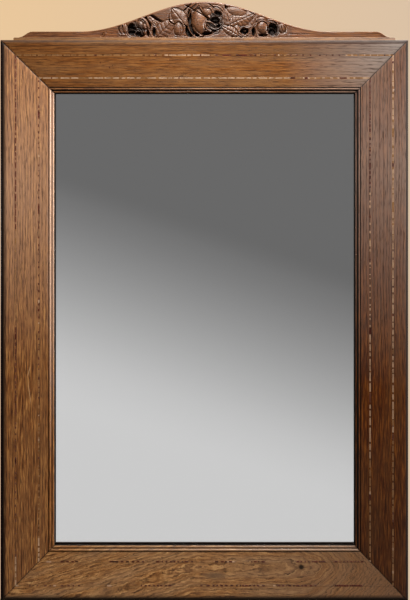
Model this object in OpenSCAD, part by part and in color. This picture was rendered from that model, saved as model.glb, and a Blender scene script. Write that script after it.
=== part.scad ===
// Wall mirror in a mitred oak frame: two lines of chequered stringing run round
// a face that slopes to the glass, and an arched cresting carved with roses
// stands on the top rail. Front faces -Y, +Z is up, +X is to the viewer's right.
// The origin is the centre of the top rail's flat back. All sizes in millimetres.

/* [Frame] */
// Width over the stiles
frame_w = 640; // [560:5:800]
// Height of the frame without its cresting
frame_h = 880; // [720:5:1100]
// Thickness at the outer edge
frame_t = 34; // [32:0.5:42]
// Width of each member, from its outer edge to the sight edge
member_w = 82; // [78:1:96]
// Radius of the rounded outer edge
edge_r = 5; // [2:0.5:7]
// How far the face falls from the outer edge to the reeds
face_drop = 11.5; // [8:0.5:13]
// Open line left at each mitre
mitre_gap = 0.3; // [0.1:0.1:0.6]

/* [Sight edge] */
// Radius of the reed beside the face
outer_reed_r = 2.0; // [1.4:0.1:2.4]
// Radius of the reed beside the glass
inner_reed_r = 1.8; // [1.4:0.1:2.2]
// Width of the sunk line before each reed
quirk_w = 0.8; // [0.5:0.1:1.2]
// Depth of the sunk line below the face
quirk_d = 1.8; // [1.2:0.1:2.2]
// Drop from the first reed to the second
reed_step = 1.6; // [1:0.1:2]
// How far the first reed lies below the face
reed_settle = 0.2; // [0.1:0.1:0.5]

/* [Stringing] */
// Width of the chequered line
string_w = 2.4; // [2:0.2:5]
// Depth of the chequered line
string_t = 2.4; // [1.5:0.1:3]
// Outer line, from the outer edge to its middle
outer_line = 24; // [16:0.5:30]
// Inner line, from the outer edge to its middle
inner_line = 59; // [44:0.5:64]
// Glue line round the stringing
glue_gap = 0.05; // [0.02:0.01:0.1]

/* [Mitre tongues] */
// Thickness of the loose tongue
tongue_t = 4; // [3:0.5:5]
// Width across the joint
tongue_w = 24; // [16:1:30]
// Length along the joint
tongue_l = 64; // [40:1:70]
// Middle of the tongue, up from the back
tongue_h = 12; // [10:0.5:14]
// Space round the tongue in its slot
tongue_gap = 0.15; // [0.1:0.05:0.3]

/* [Mirror plate] */
// Plate thickness
plate_t = 4; // [3:0.5:6]
// How far the sight edge laps over the plate
plate_lap = 8; // [6:0.5:10]
// Spare room beside the plate and above it
plate_room = 1.5; // [0.5:0.25:3]
// Air between parts that are laid face to face
seat_gap = 0.1; // [0.05:0.05:0.2]

/* [Glazing blocks] */
// Block thickness behind the plate
block_t = 4; // [3:0.5:6]
// Block width over the plate
block_w = 7; // [4:0.5:8]
// Block length
block_l = 40; // [20:1:60]
// Blocks along each stile
stile_blocks = 3; // [2:1:5]
// Blocks along each rail
rail_blocks = 2; // [1:1:4]

/* [Back boards] */
// Board thickness
board_t = 5.5; // [4:0.5:8]
// How far the boards lap on the members
board_lap = 10; // [8:0.5:14]
// How far the boards lie below the frame's back
board_recess = 1; // [1:0.25:2]
// Space between boards and round them
board_gap = 1; // [0.5:0.25:2]
// Nail shank diameter
nail_d = 1.6; // [1.2:0.1:2]
// Nail length with its head
nail_l = 16; // [12:0.5:17]
// Nail head diameter
nail_head_d = 3.2; // [2.6:0.1:4]
// Nail head thickness
nail_head_t = 0.8; // [0.5:0.1:0.9]
// Nails across each end of a board
nails_across = 3; // [2:1:4]
// Nails down each long side of the back
nails_down = 5; // [3:1:8]

/* [Cresting] */
// Height over the top rail at the middle
crest_h = 61; // [50:1:80]
// Height of the level shoulders
shoulder_h = 14; // [11:0.5:18]
// Half the width of the arch
arch_half = 196; // [170:1:215]
// Frame corner to the end of the cresting's fillet
crest_inset = 20; // [12:0.5:40]
// How far the fillet runs on past the curved fall
fillet_reach = 8.5; // [4:0.5:12]
// Thickness of the board
crest_t = 18.5; // [16:0.5:21]
// Back of the frame to the back of the cresting
crest_back = 8; // [5:0.5:8]
// Height of the fillet along the foot
foot_h = 4.4; // [3:0.2:6]
// How far the fillet stands in front of the board
foot_lip = 1.5; // [0.5:0.25:2]
// Length of the curved fall at each end
fall_l = 20; // [14:1:28]
// Height of the step below the curved fall
fall_step = 6.2; // [5:0.2:8]
// Plain band left along the arch
band_w = 3.4; // [2.5:0.1:6]
// Easing of the board's edges
crest_ease = 1.2; // [0.6:0.1:2]
// Depth of the sunk ground
ground_d = 3.4; // [2:0.2:5]
// Depth of the hollows between the carved forms
hollow_d = 8; // [5.5:0.5:8.5]
// Half the length of the carved field
field_half = 136; // [132:1:160]
// Width of the lines cut in petals and leaves
line_w = 1.2; // [0.8:0.1:1.6]

/* [Cresting dowels] */
// Dowel diameter
dowel_d = 8; // [6:0.5:9]
// Dowel length
dowel_l = 32; // [24:1:34]
// Depth of each dowel in the rail
dowel_sink = 22; // [16:1:24]
// Spacing of the two inner dowels
dowel_inner = 100; // [60:5:160]
// Spacing of the two outer dowels
dowel_outer = 430; // [320:5:480]
// Space round each dowel
dowel_gap = 0.1; // [0.05:0.05:0.2]

/* [Hangers] */
// Top of the frame to the ring pivot
hanger_down = 210; // [140:5:300]
// Outer edge to the middle of the hanger
hanger_in = 32; // [24:1:44]
// Strap width
strap_w = 14; // [12:0.5:16]
// Thickness of the folded sheet
strap_t = 1.2; // [0.8:0.1:1.5]
// Strap length below the ring pivot
strap_l = 46; // [40:1:60]
// Ring wire diameter
wire_d = 3; // [2.5:0.1:3.5]
// Play of the wire in its barrel
wire_gap = 0.08; // [0.04:0.01:0.1]
// Ring radius at the middle of the wire
ring_r = 12; // [11:0.5:16]
// Straight side of the ring
ring_side = 8; // [5:0.5:12]
// Bend radius of the ring's lower corners
ring_bend = 2.5; // [2.2:0.1:3]
// Air between the resting ring and the stile
ring_air = 0.15; // [0.1:0.05:0.3]
// Screw shank diameter
screw_d = 3.5; // [3:0.1:4]
// Screw length
screw_l = 16; // [12:0.5:18]
// Screw head diameter
screw_head_d = 7; // [6:0.2:8]
// Height of the screw's countersunk head
screw_head_h = 1.8; // [1.5:0.1:2.2]
// Width of the screw's slot
slot_w = 0.8; // [0.6:0.1:1]
// Depth of the screw's slot
slot_d = 0.7; // [0.5:0.1:1]
// Ring pivot to the upper screw
screw_first = 12.5; // [11:0.5:14]
// Spacing of the two screws
screw_pitch = 24; // [20:0.5:26]

/* [Hidden] */

// Cut-through allowance, and the number of flats on small round parts
over = 1;
round_fn = 48;
arc_steps = 10;

// Heights of the seats, up from the frame's back
board_seat = board_recess + board_t;
plate_seat = board_seat + block_t + plate_t;

// Places across a member, from its outer edge
plate_wall = member_w - plate_lap;
board_wall = plate_wall - board_lap;
face_end = member_w - 2 * outer_reed_r - 2 * inner_reed_r - 2 * quirk_w;
slope = atan(face_drop / (face_end - edge_r));
face_top_d = edge_r + edge_r * sin(slope);
face_top_h = frame_t - edge_r + edge_r * cos(slope);
face_low_h = face_height(face_end);
outer_reed_h = face_low_h - outer_reed_r - reed_settle;
inner_reed_h = outer_reed_h - reed_step;
outer_reed_d = face_end + quirk_w + outer_reed_r;
inner_reed_d = member_w - inner_reed_r;

// Where the frame stands
top_z = board_wall / 2;
mid_z = top_z - frame_h / 2;
bottom_z = top_z - frame_h;

// Colours as the photograph shows them
oak = [0.52, 0.35, 0.22];
oak_light = [0.60, 0.42, 0.26];
pale_wood = [0.80, 0.66, 0.46];
beech = [0.76, 0.60, 0.42];
pine = [0.72, 0.56, 0.38];
silvered = [0.72, 0.74, 0.75];
brass = [0.70, 0.56, 0.28];
steel = [0.50, 0.50, 0.50];

function arc(c, r, from, to) =
    [for (i = [0:arc_steps]) let (a = from + (to - from) * i / arc_steps) c + r * [cos(a), sin(a)]];

// Height of the sloping face at distance d from the outer edge
function face_height(d) = face_top_h - (d - face_top_d) * tan(slope);

// Section of a member as [distance from the outer edge, height above the back]
function member_section() = concat(
    [[0, 0]],
    arc([edge_r, frame_t - edge_r], edge_r, 180, 90 - slope),
    [[face_end, face_low_h], [face_end, face_low_h - quirk_d], [face_end + quirk_w, face_low_h - quirk_d]],
    arc([outer_reed_d, outer_reed_h], outer_reed_r, 165, 15),
    [[inner_reed_d - inner_reed_r - quirk_w, outer_reed_h - reed_step / 2]],
    [[inner_reed_d - inner_reed_r, outer_reed_h - reed_step / 2]],
    arc([inner_reed_d, inner_reed_h], inner_reed_r, 150, 0),
    [[member_w, plate_seat], [plate_wall, plate_seat], [plate_wall, board_seat],
     [board_wall, board_seat], [board_wall, 0]]
);

// A length of section laid along X with its outer edge at z = 0 and its back at y = 0
module along(length) {
    rotate([90, 0, 90]) linear_extrude(length, center = true) children();
}

// Everything between the two mitres of a member of this length
module between_mitres(length, gap) {
    cut = gap / sqrt(2);
    half = length / 2;
    rotate([90, 0, 0])
        linear_extrude(4 * frame_t, center = true)
            polygon([
                [-half + cut - over, over], [half - cut + over, over],
                [half - cut - member_w - over, -member_w - over],
                [-half + cut + member_w + over, -member_w - over]
            ]);
}

// The rectangle that one line of stringing fills
module string_section(middle) {
    translate([-face_height(middle), -middle])
        rotate(-slope)
            translate([0, -string_w / 2])
                square([string_t, string_w]);
}

// The tool path of one line: open above the face and clear of the line by the glue
module string_groove(middle) {
    translate([-face_height(middle), -middle])
        rotate(-slope)
            translate([-over, -string_w / 2 - glue_gap])
                square([string_t + glue_gap + over, string_w + 2 * glue_gap]);
}

// One tongue of plywood across the mitre, its middle at the origin
module tongue(grow) {
    cube([tongue_l + 2 * grow, tongue_t + 2 * grow, tongue_w + 2 * grow], center = true);
}

// Puts a tongue at the right-hand or left-hand end of a member of this length
module at_mitre(length, side) {
    reach = board_wall / 2;
    translate([side * (length / 2 - reach), -tongue_h, -reach])
        rotate([0, side * 45, 0])
            children();
}

module member(length) {
    difference() {
        intersection() {
            along(length) polygon([for (p = member_section()) [-p[1], -p[0]]]);
            between_mitres(length, mitre_gap);
        }
        along(length + 2 * over) string_groove(outer_line);
        along(length + 2 * over) string_groove(inner_line);
        for (side = [-1, 1]) at_mitre(length, side) tongue(tongue_gap);
    }
}

module stringing(length, middle) {
    intersection() {
        along(length) string_section(middle);
        between_mitres(length, 2 * mitre_gap);
    }
}

// The four places that a member can take
module as_top() { translate([0, 0, top_z]) children(); }
module as_bottom() { translate([0, 0, bottom_z]) rotate([0, 180, 0]) children(); }
module as_left() { translate([-frame_w / 2, 0, mid_z]) rotate([0, -90, 0]) children(); }
module as_right() { translate([frame_w / 2, 0, mid_z]) rotate([0, 90, 0]) children(); }

module top_rail() {
    color(oak) difference() {
        as_top() member(frame_w);
        dowel_places() dowel(dowel_gap);
        rail_nail_places(1) nail(glue_gap);
    }
}

module bottom_rail() {
    color(oak) difference() {
        as_bottom() member(frame_w);
        rail_nail_places(-1) nail(glue_gap);
    }
}

module left_stile() {
    color(oak) difference() {
        as_left() member(frame_h);
        stile_nail_places(-1) nail(glue_gap);
        hanger_place(-1) screw_places() screw(glue_gap, false);
    }
}

module right_stile() {
    color(oak) difference() {
        as_right() member(frame_h);
        stile_nail_places(1) nail(glue_gap);
        hanger_place(1) screw_places() screw(glue_gap, false);
    }
}

module mitre_tongue_top_left() { color(beech) as_top() at_mitre(frame_w, -1) tongue(0); }
module mitre_tongue_top_right() { color(beech) as_top() at_mitre(frame_w, 1) tongue(0); }
module mitre_tongue_bottom_left() { color(beech) as_bottom() at_mitre(frame_w, 1) tongue(0); }
module mitre_tongue_bottom_right() { color(beech) as_bottom() at_mitre(frame_w, -1) tongue(0); }

module stringing_top_outer() { color(pale_wood) as_top() stringing(frame_w, outer_line); }
module stringing_top_inner() { color(pale_wood) as_top() stringing(frame_w, inner_line); }
module stringing_bottom_outer() { color(pale_wood) as_bottom() stringing(frame_w, outer_line); }
module stringing_bottom_inner() { color(pale_wood) as_bottom() stringing(frame_w, inner_line); }
module stringing_left_outer() { color(pale_wood) as_left() stringing(frame_h, outer_line); }
module stringing_left_inner() { color(pale_wood) as_left() stringing(frame_h, inner_line); }
module stringing_right_outer() { color(pale_wood) as_right() stringing(frame_h, outer_line); }
module stringing_right_inner() { color(pale_wood) as_right() stringing(frame_h, inner_line); }

// Mirror plate and what holds it

plate_w = frame_w - 2 * plate_wall - 2 * plate_room;
plate_h = frame_h - 2 * plate_wall - 2 * plate_room;

module mirror_plate() {
    color(silvered)
        translate([-plate_w / 2, -plate_seat + seat_gap, bottom_z + plate_wall + seat_gap])
            cube([plate_w, plate_t - seat_gap, plate_h]);
}

// One wedge with its tall side against the wall of the rebate
module glazing_block() {
    along(block_l)
        polygon([
            [-board_seat - seat_gap, -plate_wall - seat_gap],
            [-board_seat - block_t + seat_gap, -plate_wall - seat_gap],
            [-board_seat - block_t + seat_gap, -plate_wall - block_w]
        ]);
}

module block_row(length, count) {
    run = length - 2 * plate_wall;
    for (i = [0:count - 1])
        translate([run * ((i + 0.5) / count - 0.5), 0, 0]) glazing_block();
}

module glazing_blocks() {
    color(pine) {
        as_top() block_row(frame_w, rail_blocks);
        as_bottom() block_row(frame_w, rail_blocks);
        as_left() block_row(frame_h, stile_blocks);
        as_right() block_row(frame_h, stile_blocks);
    }
}

// Thin boards that close the back, nailed through their edges

back_w = frame_w - 2 * board_wall - 2 * board_gap;
back_h = frame_h - 2 * board_wall - 2 * board_gap;
board_w = (back_w - 2 * board_gap) / 3;
nail_in = board_wall + board_lap / 2;

module nail(grow) {
    rotate([90, 0, 0]) {
        cylinder(h = nail_l + grow, d = nail_d + 2 * grow, $fn = 16);
        cylinder(h = nail_head_t, d = nail_head_d + 2 * grow, $fn = 16);
    }
}

// Nails through the ends of the boards, into the top rail or the bottom rail
module rail_nail_places(side, boards = [-1, 0, 1]) {
    for (b = boards, i = [0:nails_across - 1])
        translate([
            b * (board_w + board_gap) + (board_w - 2 * board_lap) * (i / (nails_across - 1) - 0.5),
            nail_head_t - board_recess,
            mid_z + side * (frame_h / 2 - nail_in)
        ]) children();
}

// Nails down the outer edge of the outer boards, into a stile
module stile_nail_places(side) {
    for (i = [0:nails_down - 1])
        translate([
            side * (frame_w / 2 - nail_in),
            nail_head_t - board_recess,
            mid_z + (back_h - 4 * board_lap) * ((i + 0.5) / nails_down - 0.5)
        ]) children();
}

module back_board(place) {
    color(pine) difference() {
        translate([place * (board_w + board_gap) - board_w / 2, -board_seat + seat_gap, mid_z - back_h / 2])
            cube([board_w, board_t - seat_gap, back_h]);
        rail_nail_places(1, [place]) nail(glue_gap);
        rail_nail_places(-1, [place]) nail(glue_gap);
        if (place != 0) stile_nail_places(place) nail(glue_gap);
    }
}

module back_board_left() { back_board(-1); }
module back_board_centre() { back_board(0); }
module back_board_right() { back_board(1); }

module back_board_nails() {
    color(steel) {
        for (side = [-1, 1]) {
            rail_nail_places(side) nail(0);
            stile_nail_places(side) nail(0);
        }
    }
}

// Cresting: one board with a carved front, standing on dowels

crest_half = frame_w / 2 - crest_inset;
crest_front = crest_back + crest_t;
fall_end = crest_half - fillet_reach;
dowel_y = crest_back + crest_t / 2;

// Height of the top edge at distance x from the middle
function arch_height(x) =
    x < arch_half ? shoulder_h + (crest_h - shoulder_h) * (1 + cos(180 * x / arch_half)) / 2 : shoulder_h;

// Height of the curved fall, t running from 0 at its foot to 1 at the shoulder
function fall_height(t) = fall_step + (shoulder_h - fall_step) * sin(90 * t);

arch_steps = 28;
fall_steps = 8;

// Right half of the outline above the foot, from the middle outwards
function crest_edge() = concat(
    [for (i = [0:arch_steps]) let (x = arch_half * i / arch_steps) [x, arch_height(x)]],
    [for (i = [0:fall_steps]) let (t = 1 - i / fall_steps) [fall_end - fall_l * t, fall_height(t)]]
);

// A thin upright slice of the board, eased along its top
slice_t = 0.01;
module crest_slice(x, height) {
    translate([x, 0, 0])
        rotate([90, 0, 90])
            linear_extrude(slice_t, center = true)
                polygon([
                    [-crest_back, 0], [-crest_front, 0], [-crest_front, height - crest_ease],
                    [-crest_front + crest_ease, height], [-crest_back - crest_ease, height],
                    [-crest_back, height - crest_ease]
                ]);
}

// The board before it is carved: each short length runs from one slice to the next
module crest_blank() {
    edge = crest_edge();
    for (side = [-1, 1], i = [0:len(edge) - 2])
        hull() {
            crest_slice(side * edge[i][0], edge[i][1]);
            crest_slice(side * edge[i + 1][0], edge[i + 1][1]);
        }
}

// Fillet along the foot, its front nose rounded
module crest_fillet() {
    nose = foot_h / 3;
    hull() {
        translate([-crest_half, -crest_front - foot_lip, 0])
            cube([2 * crest_half, crest_t + foot_lip, foot_h - nose]);
        translate([-crest_half, -crest_front - foot_lip + nose, 0])
            cube([2 * crest_half, crest_t + foot_lip - nose, foot_h]);
    }
}

// The carving is drawn for a board of this height with a field of this half length, and is
// stretched with them. Places run from the middle of the board and up from its foot, and
// heights from the board's front.
drawn_h = 61;
drawn_half = 136;

// Ground cut away deeply: [place, half sizes, turn]
hollows = [
    [[-115, 17.4], [8, 10.5], 0], [[-102, 10.5], [9, 5.4], -12], [[-88.6, 12], [3, 7], 8],
    [[-79.3, 13.4], [3.8, 7.6], 0], [[-88, 30], [3, 8], -18], [[-23, 16.5], [8.4, 11], 0],
    [[-24, 34], [4, 16], 0], [[-12.4, 12.6], [4.6, 7.2], 20], [[3, 11.4], [11.5, 4], 0],
    [[17.4, 31], [9, 10], 0], [[20.6, 43.4], [7.4, 5], -22], [[63, 14.8], [7.6, 6.4], 0],
    [[77.2, 14], [3.6, 8.4], 0], [[107, 17], [9, 10.2], 0], [[93, 9.2], [9, 3.6], 0]
];

// Swelling forms, such as closed petals one inside another, a bud or a folded leaf:
// [place, half sizes, turn, height, roundness]
swells = [
    [[-126, 17], [4.4, 7.6], 6, 0.6, 2.4], [[-101, 21.6], [5.8, 9], 24, 0.2, 3],
    [[-95.6, 19.6], [6, 9], 6, 1.4, 3.4], [[-40.6, 17.2], [7.8, 11], -6, 1.2, 3.4],
    [[-9.4, 29.6], [13.6, 19.8], -8, 1.8, 6], [[-6, 29.4], [11.6, 17.6], -2, 2.8, 6],
    [[-1.4, 30], [9, 15], 8, 3.8, 5.6], [[6.4, 43.4], [9, 6.6], -38, 2.4, 3.4],
    [[50.4, 15.6], [6.2, 8.8], -8, 1.2, 2.6], [[49, 45], [13, 5.4], -12, 0.8, 2],
    [[88, 18.8], [7.4, 10.4], -6, 1.2, 4], [[91.6, 19.2], [7, 9.8], 6, 2.4, 4.4],
    [[89.4, 31.2], [7, 3.8], -14, 0.6, 1.8], [[122.8, 16.8], [5.2, 7], -6, 0.8, 2.4]
];

// Open petals, each a rolled lip along a bend and a cheek from it down to the heart:
// [start, bend, end, heart, width, height]
petals = [
    [[-119, 27.6], [-110.6, 29.4], [-106, 22], [-113, 17], 3, -0.4],
    [[-121.6, 21], [-121.4, 11.4], [-113.6, 7.6], [-114.4, 16], 3, 0.2],
    [[-112, 7.4], [-105, 6], [-99.4, 9.6], [-107, 14], 3, -0.4],
    [[-20.4, 47.6], [-11, 52], [-1, 49.4], [-7, 40], 3.2, 2.2],
    [[0.6, 49.6], [9.6, 51.6], [15.6, 45.6], [9, 39], 3, 2.4],
    [[13.6, 51.6], [24.6, 50], [29.8, 41], [17.6, 40], 3.6, 1.4],
    [[30.4, 41], [31.4, 31], [26.8, 20.6], [18, 31], 4, 1.6],
    [[8, 27.6], [16, 28], [21, 22.6], [12.6, 22.4], 3.2, 1],
    [[25.6, 19.6], [18, 13.4], [7, 13.6], [13.6, 21.6], 3.6, 0.8],
    [[98.6, 30], [108.6, 30.6], [115, 23.4], [106, 20.4], 3.4, 0.8],
    [[116.4, 23.6], [117.4, 15.6], [112.6, 8], [107, 16.4], 3.4, 0.6],
    [[110.6, 7.4], [104.4, 6.8], [99.6, 10.6], [105.4, 14], 3, -0.2]
];

// Round ridges, such as stems and sepals: [start, bend, end, widths, heights]
ridges = [
    [[-107, 34], [-95.4, 32.6], [-87.8, 20], [3, 4.6], [0.2, 1.4]],
    [[-89.6, 21], [-85.4, 12.6], [-83, 6], [2.8, 3], [0.2, 0.6]],
    [[-24.6, 34], [-23.4, 45], [-15.2, 53], [3.2, 3.4], [0.6, 1.6]],
    [[-26.4, 27], [-23.6, 15.6], [-16, 7], [3, 3], [0.4, 0.8]],
    [[-18.6, 20], [-13.2, 12], [-5, 7], [2.8, 3.2], [-0.4, 0.6]],
    [[55.8, 21.4], [63.4, 22.4], [72, 24.4], [2.8, 2.8], [-0.2, 0]],
    [[79.4, 27], [74.6, 18.6], [69.4, 7.6], [3, 3.2], [0.4, 0.6]],
    [[81.2, 22], [81.2, 14.6], [82.6, 6.6], [2.6, 2.8], [0.4, 0.6]]
];

// Leaves with a sunk midrib and side veins: [base, tip, width, height, veins]
leaves = [
    [[-91, 37], [-70, 20.6], 9.4, 0, 2], [[-75, 7], [-47.6, 33.6], 22, 0.8, 4],
    [[-31, 25.6], [-51, 46.6], 20, 0.6, 3], [[41.4, 15.4], [34, 48], 15, 0.4, 3],
    [[37.4, 24.6], [79.6, 37.6], 21, 0.8, 5], [[54.6, 7.6], [26.6, 23.4], 13, 0.8, 3]
];

// Rounds that outline one half of a leaf, as shares of its length and width, and how far each
// stays below the top: [along, across, radius, below]
leaf_rounds = [
    [0.06, 0.05, 0.06, 1], [0.36, 0.26, 0.22, 1.2], [0.36, 0.21, 0.1, 0],
    [0.68, 0.19, 0.16, 1], [0.97, 0, 0.02, 1.4]
];

// Side veins of a leaf: the first as a share of its length, the length they spread over, turn
vein_first = 0.14;
vein_spread = 0.62;
vein_turn = 40;

// How finely the carved forms are rounded
bend_steps = 4;
lip_fn = 8;
swell_fn = 14;

// Point of a bend at t from 0 to 1, through its start, its middle and its end
function on_bend(form, t) =
    (1 - t) * (1 - 2 * t) * form[0] + 4 * t * (1 - t) * form[1] + t * (2 * t - 1) * form[2];

// A round post from the floor of the deepest hollow up to a height, tapered at its top
module standing(r, height) {
    translate([0, 0, -hollow_d]) cylinder(h = hollow_d + height - r, r = r, $fn = lip_fn);
    translate([0, 0, height - r]) cylinder(h = r, r1 = r, r2 = r / 3, $fn = lip_fn);
}

module ridge(form) {
    for (k = [0:bend_steps - 1]) hull()
        for (t = [k / bend_steps, (k + 1) / bend_steps])
            translate(on_bend(form, t))
                standing(
                    (form[3][0] + (form[3][1] - form[3][0]) * t) / 2,
                    form[4][0] + (form[4][1] - form[4][0]) * t
                );
}

module petal(form) {
    for (k = [0:bend_steps - 1]) hull() {
        for (t = [k, k + 1])
            translate(on_bend(form, t / bend_steps)) standing(form[4] / 2, form[5]);
        translate(form[3]) standing(form[4] / 2, -0.7 * hollow_d);
    }
}

module swell(form) {
    translate(form[0]) rotate(form[2]) scale([form[1].x, form[1].y, 1]) {
        translate([0, 0, -hollow_d]) cylinder(h = hollow_d + form[3] - form[4], r = 1, $fn = swell_fn);
        translate([0, 0, form[3] - form[4]]) scale([1, 1, form[4]]) sphere(r = 1, $fn = swell_fn);
    }
}

module hollow(form) {
    translate(form[0]) rotate(form[2]) translate([0, 0, -hollow_d])
        scale([form[1].x, form[1].y, 1]) cylinder(h = hollow_d + over, r1 = 0.8, r2 = 1, $fn = swell_fn);
}

// A V-cut line along x
module carved_line(length) {
    rotate([45, 0, 0]) translate([0, -line_w / 2, -line_w / 2]) cube([length, line_w, line_w]);
}

// One leaf: two swelling halves that leave a sunk midrib, cut by side veins
module leaf(form) {
    run = form[1] - form[0];
    length = norm(run);
    lift = hollow_d + form[3];
    translate([form[0].x, form[0].y, -hollow_d]) rotate(atan2(run.y, run.x)) difference() {
        for (side = [-1, 1]) hull()
            for (part = leaf_rounds)
                translate([part[0] * length, side * part[1] * form[2], 0])
                    cylinder(h = lift - part[3], r = part[2] * form[2], $fn = swell_fn);
        for (side = [-1, 1], i = [0:form[4] - 1])
            translate([length * (vein_first + vein_spread * i / form[4]), 0, lift - line_w / 2])
                rotate([0, 0, side * vein_turn]) carved_line(0.8 * form[2]);
        translate([0, 0, lift - line_w / 2]) carved_line(0.9 * length);
    }
}

// Places children that are drawn flat, with their heights towards the front
module carver() {
    translate([0, -crest_front, 0]) rotate([90, 0, 0])
        scale([field_half / drawn_half, crest_h / drawn_h, 1]) children();
}

// Top of the carved field at x
function field_top(x) = arch_height(abs(x)) - band_w;

// The field that the carver sinks inside the band and above the fillet, from one height to
// another. Forms run into its wall by wall_lap and hollows stop short of it by as much.
wall_lap = 0.2;
module carved_field(from, to, grow) {
    count = 30;
    top = [for (i = [-count:count]) let (x = field_half * i / count) [x, field_top(x)]];
    translate([0, -crest_front, 0]) rotate([90, 0, 0])
        translate([0, 0, from]) linear_extrude(to - from) offset(delta = grow)
            polygon(concat([[field_half, foot_h], [-field_half, foot_h]], top));
}

module carving() {
    for (form = petals) petal(form);
    for (form = ridges) ridge(form);
    for (form = swells) swell(form);
    for (form = leaves) leaf(form);
}

module crest_board() {
    color(oak_light)
        translate([0, 0, top_z + seat_gap]) difference() {
            union() {
                difference() {
                    crest_blank();
                    carved_field(-ground_d, over, 0);
                    intersection() {
                        carver() for (form = hollows) hollow(form);
                        carved_field(-hollow_d, over, -wall_lap);
                    }
                }
                intersection() {
                    carver() carving();
                    carved_field(-hollow_d - over, hollow_d, wall_lap);
                }
                crest_fillet();
            }
            translate([0, 0, -top_z - seat_gap]) dowel_places() dowel(dowel_gap);
        }
}

module dowel(grow) {
    translate([0, 0, -dowel_sink - grow])
        cylinder(h = dowel_l + 2 * grow, d = dowel_d + 2 * grow, $fn = round_fn);
}

module dowel_places() {
    for (spacing = [dowel_inner, dowel_outer], side = [-1, 1])
        translate([side * spacing / 2, -dowel_y, top_z]) children();
}

module crest_dowels() { color(beech) dowel_places() dowel(0); }

// Two-screw strap hangers with a ring that swings in the folded end

wire_r = wire_d / 2;
barrel_r = wire_r + wire_gap;
pivot_y = strap_t + barrel_r;
ring_top = ring_side + ring_r;
lean = asin((pivot_y - wire_r - ring_air) / ring_top);
screw_tip_d = 0.6;

module hanger_place(side) {
    translate([side * (frame_w / 2 - hanger_in), 0, top_z - hanger_down]) children();
}

module screw_places() {
    for (i = [0, 1]) translate([0, 2 * strap_t, -screw_first - i * screw_pitch]) children();
}

// Countersunk screw, head flush with the strap, pointing into the stile
module screw(grow, slotted) {
    rotate([90, 0, 0]) difference() {
        union() {
            cylinder(
                h = screw_head_h, d1 = screw_head_d + 2 * grow, d2 = screw_d + 2 * grow,
                $fn = round_fn
            );
            cylinder(h = screw_l - screw_d, d = screw_d + 2 * grow, $fn = round_fn);
            translate([0, 0, screw_l - screw_d])
                cylinder(h = screw_d, d1 = screw_d + 2 * grow, d2 = screw_tip_d + 2 * grow, $fn = round_fn);
        }
        if (slotted)
            translate([-screw_head_d, -slot_w / 2, -over]) cube([2 * screw_head_d, slot_w, over + slot_d]);
    }
}

module hanger_strap() {
    color(brass) difference() {
        intersection() {
            along(strap_w) union() {
                translate([pivot_y, 0]) circle(r = barrel_r + strap_t, $fn = round_fn);
                translate([0, -strap_l]) square([2 * strap_t, strap_l]);
            }
            rotate([90, 0, 0]) linear_extrude(4 * pivot_y, center = true) union() {
                translate([-strap_w / 2, -strap_l + strap_w / 2]) square([strap_w, strap_l]);
                translate([0, -strap_l + strap_w / 2]) circle(d = strap_w, $fn = round_fn);
            }
        }
        along(strap_w + 2 * over) translate([pivot_y, 0]) circle(r = barrel_r, $fn = round_fn);
        screw_places() screw(glue_gap, false);
    }
}

// Bent wire ring, standing up from its pivot bar and leaning on the stile
module hanger_ring() {
    color(brass)
        translate([0, pivot_y, 0]) rotate([lean, 0, 0]) {
            bar = 2 * (ring_r - ring_bend);
            rotate([0, 90, 0]) cylinder(h = bar, r = wire_r, center = true, $fn = round_fn);
            for (side = [-1, 1]) {
                translate([side * (ring_r - ring_bend), 0, ring_bend])
                    rotate([90, 0, 0])
                        rotate(side < 0 ? 180 : 270)
                            rotate_extrude(angle = 90, $fn = round_fn)
                                translate([ring_bend, 0]) circle(r = wire_r, $fn = round_fn);
                translate([side * ring_r, 0, ring_bend])
                    cylinder(h = ring_side - ring_bend, r = wire_r, $fn = round_fn);
            }
            translate([0, 0, ring_side])
                rotate([90, 0, 0])
                    rotate_extrude(angle = 180, $fn = round_fn)
                        translate([ring_r, 0]) circle(r = wire_r, $fn = round_fn);
        }
}

module hanger_strap_left() { hanger_place(-1) hanger_strap(); }
module hanger_strap_right() { hanger_place(1) hanger_strap(); }
module hanger_ring_left() { hanger_place(-1) hanger_ring(); }
module hanger_ring_right() { hanger_place(1) hanger_ring(); }
module hanger_screws() {
    color(brass)
        for (side = [-1, 1]) hanger_place(side) screw_places() screw(0, true);
}

top_rail();
bottom_rail();
left_stile();
right_stile();
mitre_tongue_top_left();
mitre_tongue_top_right();
mitre_tongue_bottom_left();
mitre_tongue_bottom_right();
stringing_top_outer();
stringing_top_inner();
stringing_bottom_outer();
stringing_bottom_inner();
stringing_left_outer();
stringing_left_inner();
stringing_right_outer();
stringing_right_inner();
crest_board();
crest_dowels();
mirror_plate();
glazing_blocks();
back_board_left();
back_board_centre();
back_board_right();
back_board_nails();
hanger_strap_left();
hanger_strap_right();
hanger_ring_left();
hanger_ring_right();
hanger_screws();
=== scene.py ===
# A wall mirror in a mitred oak frame. The face slopes to the glass and carries two lines of
# chequered stringing, and a cresting carved with roses stands on the top rail. After the camera
# and the room come the frame, its stringing, the cresting, the plate, the hidden tongues and
# dowels, and the boards and hangers of the back.
import math
import random

import bmesh
import bpy
import numpy as np
from bmesh.types import BMEdge, BMVert
from mathutils import Matrix, Vector, noise


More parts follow.
